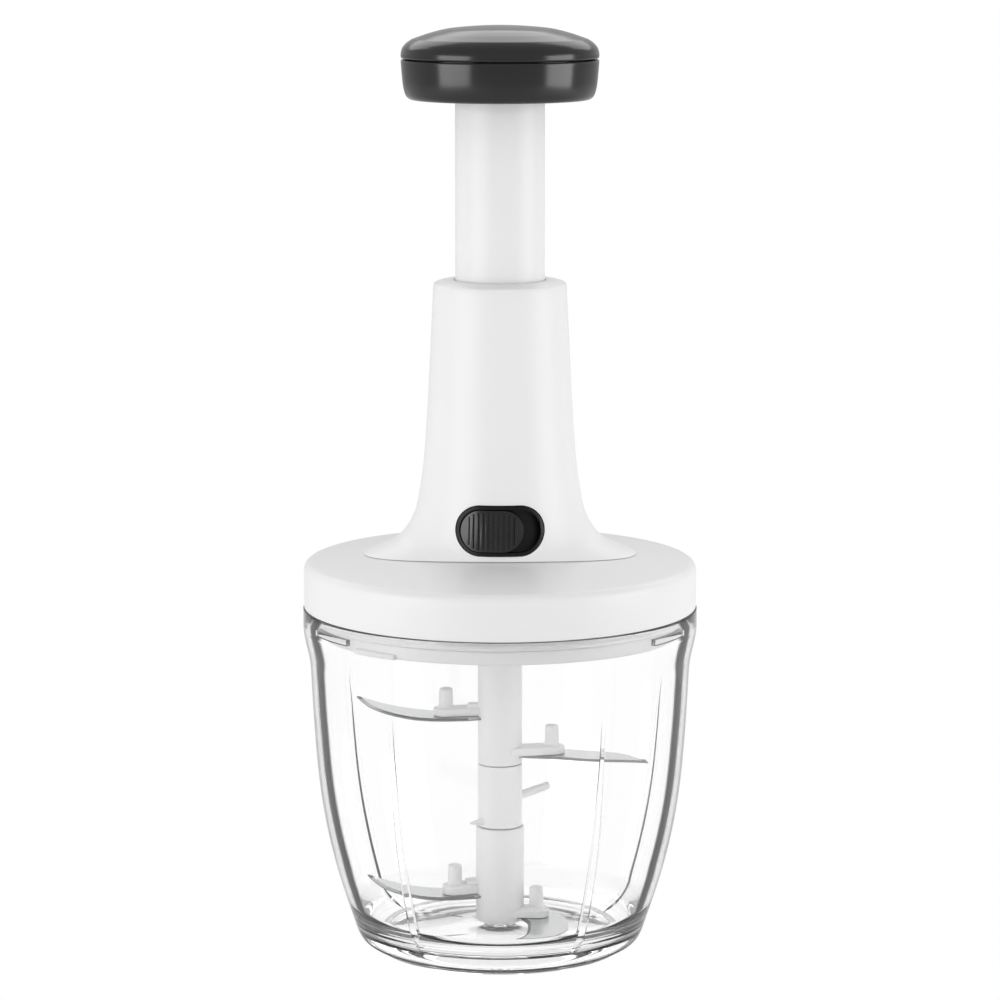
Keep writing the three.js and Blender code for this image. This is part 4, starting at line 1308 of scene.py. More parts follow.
@dataclass
class Cutter:
    """The stem in three pieces, with arms, posts and blades."""

    sides: int = 96
    lower_radius: float = 8.1
    radius: float = 7.4
    bottom: float = 7.5
    lower_top: float = 39.8
    middle_base: float = 40.1
    middle_top: float = 61.3
    upper_base: float = 61.6
    upper_top: float = 111.4
    spigot_radius: float = 3.6
    spigot_top: float = 71.6
    bore: float = 3.9
    socket_top: float = 71.9
    pin_hole: float = 2.2
    pin_hole_top: float = 16.0
    arm_thickness: float = 2.7
    arm_width: float = 8.6
    arm_sweep: float = 2.4
    arm_soft: float = 0.45
    arm_narrowing: float = 4.5  # how far from its end an arm starts to narrow
    near_bulge: float = 0.9
    far_waist: float = 1.0
    step_reach: float = 3.6
    step_sunk: float = 0.6
    step_soft: float = 0.7
    post_sides: int = 40
    post_radius: float = 2.4
    post_height: float = 7.0
    blade_thickness: float = 0.9
    blade_gap: float = 0.05
    blade_lift: float = 2.8
    blade_bend: float = 0.5  # the share of the reach where the bend starts
    bend_steps: int = 12
    bend_power: float = 1.6
    bevel_width: float = 1.0
    bevel_share: float = 0.6  # the share of the thickness that is ground off
    edge_near: float = 0.2  # how near the keen side's points a ground corner lies
    level_normal: float = 0.9  # the least rise of a level face's normal
    shade_painted_normal: float = 0.95  # the rise of a normal under which a face gets the darker steel's painted shade
    tang_width: float = 7.0
    tang_depth: float = 2.3
    dog_half_length: float = 6.3
    dog_half_width: float = 2.2
    dog_height: float = 6.4
    dog_sunk: float = 2.0
    dog_soft: float = 0.6
    nub_level: float = 2.0
    rod_level: float = 8.4
    rod_sides: int = 24
    carriers: tuple[Carrier, ...] = (
        Carrier("upper_left", 80.6, 22.4, 54.2, 179.0, 7.4, 1.6),
        Carrier("upper_right", 67.6, 21.8, 52.6, 0.0, 7.4),
        Carrier("lower_left", 19.8, 19.6, 48.0, 187.0, 8.1, 1.4),
        Carrier("lower_front", 12.6, 17.0, 38.6, -16.0, 8.1, 0.0, True),
    )
    # The blades' sides, as shares of the reach
    sickle_back: tuple[Point, ...] = (
        (0.19, 0.105),
        (0.426, 0.118),
        (0.638, 0.029),
        (0.812, -0.14),
        (0.921, -0.391),
    )
    sickle_edge: tuple[Point, ...] = ((0.785, -0.29), (0.6, -0.2), (0.39, -0.125), (0.19, -0.09))
    hook_back: tuple[Point, ...] = (
        (0.24, 0.13),
        (0.44, 0.14),
        (0.6, -0.02),
        (0.694, -0.313),
        (0.71, -0.55),
        (0.676, -0.735),
        (0.55, -0.877),
        (0.404, -0.909),
    )
    hook_edge: tuple[Point, ...] = ((0.414, -0.7), (0.365, -0.414), (0.31, -0.22), (0.24, -0.12))

    def beam(self, carrier: Carrier) -> Piece:
        """An arm's beam, swept at its root and round at its end.

        Args:
            carrier: the arm's sizes.

        Returns:
            The beam, along the X axis.
        """
        across = self.arm_width * HALF
        root = carrier.stem_radius * HALF
        end = carrier.arm_reach - across
        narrow = end - self.arm_narrowing
        angles = [math.pi * (i / 20 - HALF) for i in range(1, 20)]
        bend = [(end + across * math.cos(a), across * math.sin(a)) for a in angles]
        near = [(root, -across - self.arm_sweep), (narrow, -across - self.near_bulge), bend[0]]
        far = [bend[-1], (narrow, across - self.far_waist), (root, across - self.arm_sweep)]
        outline = [*flowing(near, 8)[:-1], *bend, *flowing(far, 8)[1:]]
        beam = Bench.plate("beam", outline, carrier.top - self.arm_thickness, carrier.top)
        return Bench.soften(beam, self.arm_soft, 3, 50)

    def step(self, carrier: Carrier) -> Piece:
        """The step that an arm's root rises to beside the stem.

        Args:
            carrier: the arm's sizes.

        Returns:
            The step, along the X axis.
        """
        across = self.arm_width * HALF
        root = carrier.stem_radius * HALF
        end = carrier.stem_radius + self.step_reach
        outline = [
            (root, -across),
            (end, -across + 1.0),
            (end, across - 3.0),
            (root, across - 2.6),
        ]
        low, high = carrier.top - self.step_sunk, carrier.top + carrier.riser
        return Bench.soften(Bench.plate("step", outline, low, high), self.step_soft)

    def post(self, carrier: Carrier) -> Piece:
        """The post on an arm's end.

        Args:
            carrier: the arm's sizes.

        Returns:
            The post, on the X axis.
        """
        wide, top = self.post_radius, carrier.top
        line = rounded(
            [
                (0, top - 0.8, 0),
                (wide + 0.5, top - 0.8, 0),
                (wide + 0.4, top + 0.15, 0.2),
                (wide, top + 0.7, 0.5),
                (wide - 0.12, top + self.post_height, 0.9),
                (0, top + self.post_height, 0),
            ]
        )
        post = Bench.turned("post", line, self.post_sides)
        post.location.x = (carrier.arm_reach - self.arm_width * HALF) * MM
        return Bench.settle(post)

    def arm(self, carrier: Carrier) -> Piece:
        """One arm with its risen root and its post.

        Args:
            carrier: the arm's sizes.

        Returns:
            The arm, turned to its azimuth.
        """
        parts = [self.beam(carrier)]
        if carrier.riser > 0:
            parts.append(self.step(carrier))
        parts.append(self.post(carrier))
        return Bench.turn(Bench.joined("arm", parts), carrier.azimuth)

    def blade(self, carrier: Carrier) -> Piece:
        """One blade with its ground edge and its tang.

        Args:
            carrier: the blade's sizes.

        Returns:
            The blade, turned to its azimuth.
        """
        hooked, reach = carrier.hooked, carrier.blade_reach
        back_shares = self.hook_back if hooked else self.sickle_back
        edge_shares = self.hook_edge if hooked else self.sickle_edge
        back = flowing([(x * reach, y * reach) for x, y in back_shares], 28)
        edge = flowing([back[-1], *((x * reach, y * reach) for x, y in edge_shares)], 24)[1:]
        low = carrier.top - self.arm_thickness - self.blade_gap - self.blade_thickness
        high = low + self.blade_thickness
        start = carrier.stem_radius - self.tang_depth
        half_tang = self.tang_width * HALF
        outline = [(start, -half_tang), (start, half_tang), *back, *edge]
        piece = Bench.plate("blade_" + carrier.name + "_steel", outline, low, high)
        Bench.edit(piece)
        Bench.pick(piece, lambda spot, normal: normal.z > self.level_normal)
        bpy.ops.mesh.inset(thickness=self.bevel_width * MM, depth=0)
        Bench.close()
        self.grind(piece, [Vector(spot) for spot in (edge if hooked else back)], high)
        if not hooked:
            self.bend_up(piece, reach)
        return Bench.turn(piece, carrier.azimuth)

    def grind(self, piece: Piece, keen: list[Vector], high: float) -> None:
        """Lowers the upper rim along the keen side, which leaves a ground bevel.

        Args:
            piece: the blade, before it is turned.
            keen: the points of the keen side, in millimetres.
            high: the height of the blade's top.
        """

        def is_ground(corner: Vector) -> bool:
            """Whether a corner lies on the keen side's upper rim."""
            near = any((corner.xy - spot).length < self.edge_near for spot in keen)
            return near and corner.z > high - SAME_LEVEL

        Bench.edit(piece)
        Bench.pick_corners(piece, is_ground)
        drop = -self.bevel_share * self.blade_thickness * MM
        bpy.ops.transform.translate(value=(0, 0, drop))
        Bench.close()

    def bend_up(self, piece: Piece, reach: float) -> None:
        """Splits the blade across and bends its outer part up towards the tip.

        Args:
            piece: the blade, before it is turned.
            reach: the blade's reach, in millimetres.
        """
        start = self.blade_bend * reach
        for step in range(self.bend_steps):
            Bench.edit(piece)
            spot = (start + (reach - start) * step / self.bend_steps) * MM
            bpy.ops.mesh.bisect(plane_co=(spot, 0, 0), plane_no=(1, 0, 0))
            Bench.close()
        Bench.edit(piece)
        shape = bmesh.from_edit_mesh(piece.data)
        places = {round(corner.co.x / MM, 3) for corner in shape.verts}
        for place in sorted(place for place in places if place > start):
            rise = self.blade_lift * ((place - start) / (reach - start)) ** self.bend_power
            Bench.pick_corners(piece, lambda p: abs(p.x - place) < 0.6 * SAME_PLACE)
            bpy.ops.transform.translate(value=(0, 0, rise * MM))
        Bench.close()

    def lower_stem(self) -> Piece:
        """The lowest stem piece, with its pin hole and the spigot for the others.

        Returns:
            The closed solid.
        """
        line = rounded(
            [
                (0, self.pin_hole_top, 0),
                (self.pin_hole, self.pin_hole_top, 0),
                (self.pin_hole, self.bottom, 0.2),
                (self.lower_radius, self.bottom, 1.9),
                (self.lower_radius, self.lower_top, 0.35),
                (self.spigot_radius, self.lower_top, 0),
                (self.spigot_radius, self.spigot_top, 0.5),
                (0, self.spigot_top, 0),
            ]
        )
        return Bench.turned("lower_stem_body", line, self.sides)

    def middle_stem(self) -> Piece:
        """The middle stem piece with its mixing arm and nub.

        Returns:
            The body, arm and nub as one piece.
        """
        line = rounded(
            [
                (self.bore, self.middle_base, 0),
                (self.radius, self.middle_base, 0.35),
                (self.radius, self.middle_top, 0.35),
                (self.bore, self.middle_top, 0),
            ],
            ring=True,
        )
        body = Bench.turned("middle_stem_body", line, self.sides, True)
        line = rounded([(0, 0, 0), (1.5, 0, 0), (1.35, 15.0, 0.9), (0, 15.0, 0)], 6)
        rod = Bench.turned("mixing_rod", line, self.rod_sides)
        level = self.middle_base + self.rod_level
        self.lay(rod, Vector((5.4, 0, level)), Vector((19, 0, level + 2.1)), 35.0)
        line = rounded([(0, 0, 0), (1.5, 0, 0), (0.35, 6.2, 0.3), (0, 6.3, 0)])
        nub = Bench.turned("nub", line, self.rod_sides)
        level = self.middle_base + self.nub_level
        self.lay(nub, Vector((6.0, 0, level)), Vector((12.5, 0, level)), 215.0)
        return Bench.joined("stem_middle_moulding", [body, rod, nub])

    @staticmethod
    def lay(piece: Piece, start: Vector, end: Vector, azimuth: float) -> None:
        """Lays an upright turned shape along a line.

        Args:
            piece: the shape, which stands on its origin.
            start: where its foot goes, in millimetres, before the turn.
            end: what it points at.
            azimuth: the turn round Z, in degrees.
        """
        piece.rotation_mode = "QUATERNION"
        piece.rotation_quaternion = (end - start).to_track_quat("Z", "Y")
        piece.location = start * MM
        Bench.settle(piece)
        piece.rotation_mode = "XYZ"
        Bench.turn(piece, azimuth)

    def upper_stem(self) -> Piece:
        """The upper stem piece with the drive dog on top.

        Returns:
            The body and dog as one piece.
        """
        line = rounded(
            [
                (0, self.socket_top, 0),
                (self.bore, self.socket_top, 0),
                (self.bore, self.upper_base, 0),
                (self.radius, self.upper_base, 0.35),
                (self.radius, self.upper_top, 0.6),
                (0, self.upper_top, 0),
            ]
        )
        body = Bench.turned("upper_stem_body", line, self.sides)
        long, wide = self.dog_half_length, self.dog_half_width
        low, high = self.upper_top - self.dog_sunk, self.upper_top + self.dog_height
        dog = Bench.block("dog", (-long, -wide, low), (long, wide, high))
        return Bench.joined("upper_stem_with_dog", [body, Bench.soften(dog, self.dog_soft)])

    def build(self, shop: Shop) -> None:
        """Builds and dresses the cutter.

        Args:
            shop: dresses the pieces and sets them on their bodies.
        """
        upper_left, upper_right, *lower_pair = self.carriers
        lower = [self.lower_stem(), *map(self.arm, lower_pair)]
        lower_piece = Bench.joined("stem_lower_moulding", lower)
        upper = [self.upper_stem(), self.arm(upper_left), self.arm(upper_right)]
        upper_piece = Bench.joined("stem_upper_moulding", upper)
        shop.fit(Bench.smooth(lower_piece, 40), STEM_GREY, Body.CUTTER, "stem_lower")
        shop.fit(Bench.smooth(self.middle_stem(), 40), STEM_GREY, Body.CUTTER, "stem_middle")
        shop.fit(Bench.smooth(upper_piece, 40), STEM_GREY, Body.CUTTER, "stem_upper")
        for carrier in self.carriers:
            blade = self.blade(carrier)
            shop.fit(Bench.smooth(blade, 20), BLADE_STEEL, Body.CUTTER, "blade_" + carrier.name)
            # The sides and ground bevels get a darker steel: painted shade for the dark
            # surroundings that they mirror
            shop.second(blade, SHADED_BEVEL_STEEL, lambda spot, normal: abs(normal.z) < self.shade_painted_normal)


@dataclass
class Lid:
    """The lid's shell, inner plug, gasket and drive seal."""

    sides: int = 256
    radius: float = 65.3
    base: float = 115.6
    edge: float = 130.3
    wall: float = 2.2
    gap: float = 0.3
    edge_round: float = 1.6
    edge_soft: float = 3.2
    slope: float = math.tan(math.radians(7.2))
    opening: float = 17.65
    plug_radius: float = 60.95
    plug_bottom: float = 107.5
    skirt: float = 3.4
    plate_base: float = 115.3
    plate_top: float = 117.3
    bore: float = 11.05
    collar: float = 2.5
    collar_top: float = 124.0
    lip: float = 8.15
    lip_top: float = 109.3
    gasket_outside: float = 62.55
    gasket_depth: float = 3.0
    gasket_top: float = 114.3
    gasket_height: float = 2.4
    groove: float = 59.25
    lugs: Lugs = Lugs((110.0, 230.0, 350.0), 16.0, 107.8, 109.1, 1.4, 0.25)
    seal_base: float = 109.6
    seal_height: float = 1.0
    seal_outside: float = 10.6
    seal_sides: int = 96

    def top_at(self, radius: float) -> float:
        """The height of the coned top at a radius."""
        return self.edge + (self.radius - self.edge_round - radius) * self.slope

    def shell(self) -> Piece:
        """The outer shell, with its soft top edge.

        Returns:
            The closed solid.
        """
        inside = self.radius - self.wall
        line = rounded(
            [
                (inside, self.base, 0.3),
                (self.radius, self.base, 0.3),
                (self.radius, self.edge, self.edge_soft),
                (self.opening, self.top_at(self.opening), 0.3),
                (self.opening, self.top_at(self.opening) - self.wall, 0),
                (inside, self.top_at(inside) - self.wall, 1.5),
            ],
            6,
            True,
        )
        return Bench.turned("lid_shell_moulding", line, self.sides, True)

    def plug(self) -> Piece:
        """The inner plug: skirt, gasket groove, plate, collar and lugs.

        Returns:
            The closed solid.
        """
        rim = self.radius - self.wall - self.gap
        skirt_inside = self.plug_radius - self.skirt
        collar_outside = self.bore + self.collar
        groove_low = self.gasket_top - self.gasket_height - self.gap
        groove_high = self.gasket_top + self.gap
        lug_top = self.lugs.high
        line = rounded(
            [
                (self.lip, self.plug_bottom, 0.3),
                (collar_outside, self.plug_bottom, 0.6),
                (collar_outside, self.plate_base, 1.0),
                (skirt_inside, self.plate_base, 1.5),
                (skirt_inside, self.plug_bottom, 0.5),
                (self.plug_radius, self.plug_bottom, 0.45),
                (self.plug_radius, lug_top, 0),
                (self.plug_radius, groove_low, 0.2),
                (self.groove, groove_low, 0),
                (self.groove, groove_high, 0),
                (self.plug_radius, groove_high, 0),
                (self.plug_radius, self.plate_base, 0),
                (rim, self.plate_base, 0.2),
                (rim, self.plate_top, 0.2),
                (collar_outside, self.plate_top, 0),
                (collar_outside, self.collar_top, 0.3),
                (self.bore, self.collar_top, 0.3),
                (self.bore, self.lip_top, 0),
                (self.lip, self.lip_top, 0.2),
            ],
            3,
            True,
        )
        piece = Bench.turned("lid_plug_moulding", line, self.sides, True)
        self.lugs.pull(piece, self.plug_radius)
        return piece

    def gasket(self) -> Piece:
        """The ring gasket, with two soft lips that meet the bowl.

        Returns:
            The closed solid.
        """
        out = self.gasket_outside
        inside = out - self.gasket_depth
        low = self.gasket_top - self.gasket_height
        line = rounded(
            [
                (inside, low, 0.3),
                (out - 0.5, low, 0.4),
                (out, low + 0.5, 0.3),
                (out - 0.45, low + 1.2, 0.3),
                (out, low + 1.9, 0.3),
                (out - 0.5, self.gasket_top, 0.4),
                (inside, self.gasket_top, 0.3),
            ],
            3,
            True,
        )
        return Bench.turned("lid_gasket_ring", line, self.sides, True)

    def drive_seal(self) -> Piece:
        """The seal round the stem, thinned to a lip at its inner edge.

        Returns:
            The closed solid.
        """
        low, high = self.seal_base, self.seal_base + self.seal_height
        line = rounded(
            [
                (self.lip, low + 0.1, 0.1),
                (self.seal_outside, low, 0.2),
                (self.seal_outside, high, 0.2),
                (self.lip + 1.2, high, 0.3),
                (self.lip, low + 0.5, 0.15),
            ],
            3,
            True,
        )
        return Bench.turned("drive_seal_ring", line, self.seal_sides, True)

    def build(self, shop: Shop) -> None:
        """Builds and dresses the lid.

        Args:
            shop: dresses the pieces and sets them on their bodies.
        """
        shop.fit(Bench.smooth(self.shell(), 40), WHITE, Body.LID, "lid_shell")
        shop.fit(Bench.smooth(self.plug(), 40), INNER_WHITE, Body.LID, "lid_plug")
        shop.fit(Bench.smooth(self.gasket(), 50), SEAL_SILICONE, Body.SEAL, "lid_gasket")
        shop.fit(Bench.smooth(self.drive_seal(), 50), SEAL_SILICONE, Body.LID, "drive_seal")


@dataclass
class Tower:
    """The grip: round at the neck, oval at the base, with the lock in its front."""

    lid: Lid
    sides: int = 240
    bed_sides: int = 180
    steps: int = 9  # between two rows of the shares
    base: float = 132.57
    height: float = 91.9
    top_rise: float = 2.1
    neck_radius: float = 22.0
    half_width: float = 45.7
    half_depth: float = 29.3
    wall: float = 2.2
    mouth: float = 15.15
    gap: float = 0.3
    lock_level: float = 144.87
    lock_length: float = 28.6
    lock_height: float = 16.0
    bed_reach: float = 5.0  # how far the clipping shape stands out past the lid
    bed_depth: float = 15.0
    skirt: float = 3.0  # how far the shell reaches down before it is clipped
    # The mouth's edge, as how far each row lies below the top and outside the mouth
    lip: tuple[Point, ...] = ((0.12, 0.2), (0.5, 0.0), (3.0, 0.0))
    # The rounded top, as how far each row lies below it and within the neck
    cap: tuple[Point, ...] = ((1.35, 0.3), (0.8, 1.3), (0.35, 3.0), (0.06, 4.9), (0.0, 5.9))
    # Height, half width and half depth, as shares of the way from base to neck, or back
    shares: tuple[Row, ...] = (
        (0, 1, 1),
        (0.014, 0.928, 0.973),
        (0.036, 0.735, 0.925),
        (0.064, 0.52, 0.885),
        (0.1, 0.39, 0.835),
        (0.141, 0.3, 0.767),
        (0.2, 0.228, 0.671),
        (0.348, 0.143, 0.452),
        (0.6, 0.074, 0.24),
        (1, 0, 0),
    )

    def rows(self) -> list[Row]:
        """Height, half width and half depth up the outside, as a smooth line.

        Returns:
            The rows, from the base up.
        """
        rise = self.height - self.top_rise
        spots = [
            (
                self.base + rise * up,
                self.neck_radius + (self.half_width - self.neck_radius) * wide,
                self.neck_radius + (self.half_depth - self.neck_radius) * deep,
            )
            for up, wide, deep in self.shares
        ]
        return flowing(spots, self.steps * (len(spots) - 1))

    def body(self) -> Piece:
        """The shell, clipped to the lid's coned top and opened for the lock.

        Returns:
            The closed solid.
        """
        outside = self.rows()
        top = self.base + self.height
        foot = self.base - self.skirt
        neck, mouth, wall = self.neck_radius, self.mouth, self.wall
        rows = [
            (foot, self.half_width, self.half_depth),
            *outside,
            *(even(top - drop, neck - slack) for drop, slack in self.cap),
            *(even(top - drop, mouth + slack) for drop, slack in self.lip),
            even(top - self.lip[-1][0], neck - wall),
            *((z, wide - wall, deep - wall) for z, wide, deep in outside[-2::-1]),
            (foot, self.half_width - wall, self.half_depth - wall),
        ]
        piece = Bench.lofted("tower_moulding", rows, self.sides)
        low, reach = self.lid.base - self.bed_depth, self.lid.radius + self.bed_reach
        bed = [
            (0, low),
            (reach, low),
            (reach, self.lid.top_at(reach) + self.gap),
            (0, self.lid.top_at(0) + self.gap),
        ]
        Bench.cut(piece, Bench.turned("bed", bed, self.bed_sides), Cut.AWAY)
        long, tall = self.lock_length + 2 * self.gap, self.lock_height + 2 * self.gap
        hole = Bench.stadium("lock_hole", long, tall, (-self.half_width, 0), self.lock_level)
        return Bench.cut(piece, hole, Cut.AWAY)

    def build(self, shop: Shop) -> None:
        """Builds and dresses the tower and what it hides.

        Args:
            shop: dresses the pieces and sets them on their bodies.
        """
        shop.fit(Bench.smooth(self.body(), 30), WHITE, Body.LID, "tower")
        shop.dress(WORKS_STEEL, "tower_screw_left", "tower_screw_right")
        shop.dress(INNER_GREY, "guide_sleeve", "neck_bush")


@dataclass
class Lock:
    """The black bezel in the tower's front and the ribbed slider in it."""

    tower: Tower
    rim: float = 1.0
    proud: float = 0.6
    layer_sides: int = 360
    depth: float = 3.2
    floor: float = 1.5
    slider_length: float = 20.6
    slider_proud: float = 1.0
    rib_count: int = 11
    rib_spacing: float = 1.6
    rib_width: float = 0.8
    rib_height: float = 0.5
    tenon: float = 5.0
    swing: float = 11.0
    gap: float = 0.3
    well_soft: float = 0.28
    well_over: float = 2.0  # how far the cutting shape stands out past the rim
    slot_swing: float = 2.8  # the slot's spare length for the swing, to either side
    pad_soft: float = 0.45
    rib_soft: float = 0.2
    rib_margin: float = 1.2  # what the ribs' zone lacks of the pad
    rib_sunk: float = 0.4

    def layer(self, inner: float, outer: float) -> Piece:
        """A coned ring that follows the tower's front, between two depths.

        Args:
            inner: how far its inner side stands out from the front, in millimetres.
            outer: the same for its outer side.

        Returns:
            The closed ring.
        """
        tower = self.tower
        rows = tower.rows()
        tall = tower.lock_height
        _, deep_low = read_off(rows, tower.lock_level - tall * HALF)
        _, deep_high = read_off(rows, tower.lock_level + tall * HALF)
        middle, lean = (deep_low + deep_high) * HALF, deep_low - deep_high
        low, high = tower.lock_level - tall, tower.lock_level + tall
        outline = [
            (middle + lean + inner, low),
            (middle + lean + outer, low),
            (middle - lean + outer, high),
            (middle - lean + inner, high),
        ]
        return Bench.turned("layer", outline, self.layer_sides, True)

    def pad(self, name: str, length: float, height: float, inner: float, outer: float) -> Piece:
        """A stadium cut out of a layer.

        Args:
            name: the pad's name.
            length: its length, in millimetres.
            height: its height.
            inner: where its inner side is, from the tower's front.
            outer: where its outer side is.

        Returns:
            The pad.
        """
        reach = (-self.tower.half_width, -self.tower.neck_radius * HALF)
        prism = Bench.stadium(name, length, height, reach, self.tower.lock_level)
        return Bench.cut(prism, self.layer(inner, outer), Cut.COMMON)

    def bar(self, name: str, middle: float, across: float, up: float) -> Piece:
        """A bar that runs through the tower's front from the middle outwards.

        Args:
            name: the bar's name.
            middle: where its middle is along X, in millimetres.
            across: half its width.
            up: half its height.

        Returns:
            The bar.
        """
        tower = self.tower
        return Bench.block(
            name,
            (middle - across, -tower.half_width, tower.lock_level - up),
            (middle + across, -tower.mouth, tower.lock_level + up),
        )

    def bezel(self) -> Piece:
        """The rim and floor of the lock's well.

        Returns:
            The closed solid.
        """
        long, tall = self.tower.lock_length, self.tower.lock_height
        body = self.pad("lock_bezel_moulding", long, tall, -self.depth, self.proud)
        long, tall = long - 2 * self.rim, tall - 2 * self.rim
        well = self.pad("well", long, tall, self.floor - self.depth, self.proud + self.well_over)
        Bench.cut(body, well, Cut.AWAY)
        up = self.tenon * HALF + self.gap
        Bench.cut(body, self.bar("slot", 0, up + self.slot_swing, up), Cut.AWAY)
        return Bench.soften(body, self.well_soft)

    def slider(self) -> Piece:
        """The slider's pad with upright ribs and the tenon behind it.

        Returns:
            Pad, ribs and tenon as one piece.
        """
        long, tall = self.slider_length, self.tower.lock_height - 2 * self.rim - 2 * self.gap
        under, proud = self.floor - self.depth + self.gap, self.slider_proud
        pad = self.pad("slider_pad", long, tall, under, proud)
        Bench.soften(pad, self.pad_soft)
        strips = []
        for i in range(self.rib_count):
            middle = (i - (self.rib_count - 1) * HALF) * self.rib_spacing
            strips.append(self.bar("rib", middle, self.rib_width * HALF, tall))
        long, high = long - self.rib_margin, tall - self.rib_margin
        zone = self.pad("ribs", long, high, proud - self.rib_sunk, proud + self.rib_height)
        ribs = Bench.cut(zone, Bench.joined("rib_strips", strips), Cut.COMMON)
        Bench.soften(ribs, self.rib_soft, 2)
        half_tenon = self.tenon * HALF
        tenon = self.bar("tenon", 0, half_tenon, half_tenon)
        Bench.cut(tenon, self.layer(-self.depth, under + self.gap), Cut.COMMON)
        slider = Bench.joined("lock_slider_moulding", [pad, ribs, tenon])
        return Bench.turn(slider, -self.swing * HALF)

    def build(self, shop: Shop) -> None:
        """Builds and dresses the lock.

        Args:
            shop: dresses the pieces and sets them on their bodies.
        """
        shop.fit(Bench.smooth(self.bezel(), 35), BEZEL_BLACK, Body.LID, "lock_bezel")
        shop.fit(Bench.smooth(self.slider(), 35), LOCK_BLACK, Body.LOCK, "lock_slider")
        shop.dress(LOCK_BLACK, "lock_bolt")


@dataclass
class Drive:
    """The works in the tower, with the return spring made in full."""

    spring_radius: float = 8.0
    wire: float = 1.3
    wire_sides: int = 16
    curls: int = 11
    steps_per_curl: int = 40
    seat_top: float = 204.5
    seat_gap: float = 0.3
    spring_top: float = 288.3
    travel: float = 55.0

    def spring(self) -> Piece:
        """The return spring: round wire wound in open curls, its ends closed.

        Returns:
            The closed solid.
        """
        half = self.wire * HALF
        low, high = self.seat_top + half + self.seat_gap, self.spring_top - half
        spot = Vector((self.spring_radius - half, 0, low))
        piece = Bench.upright_circle("return_spring_wire", self.wire_sides, half, spot, "NOTHING")
        Bench.modify(
            piece,
            "SCREW",
            axis="Z",
            angle=TURN,
            screw_offset=(high - low) / self.curls * MM,
            iterations=self.curls,
            steps=self.steps_per_curl,
            render_steps=self.steps_per_curl,
            use_merge_vertices=False,
        )
        Bench.edit(piece)
        Bench.pick_open()
        bpy.ops.mesh.edge_face_add()
        Bench.close()
        return piece

    def build(self, shop: Shop) -> None:
        """Builds the spring and dresses the rest.

        Args:
            shop: dresses the pieces and sets them on their bodies.
        """
        wound = Bench.smooth(self.spring(), 60)
        spring = shop.fit(wound, WORKS_STEEL, Body.DRIVE, "return_spring")
        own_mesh(spring)
        shop.dress(WORKS_STEEL, "thrust_washer", "ratchet_wheel", "pawl_left", "pawl_right")
        shop.dress(WORKS_STEEL, "spiral_rod")
        shop.dress(INNER_GREY, "drive_hub", "spring_seat")


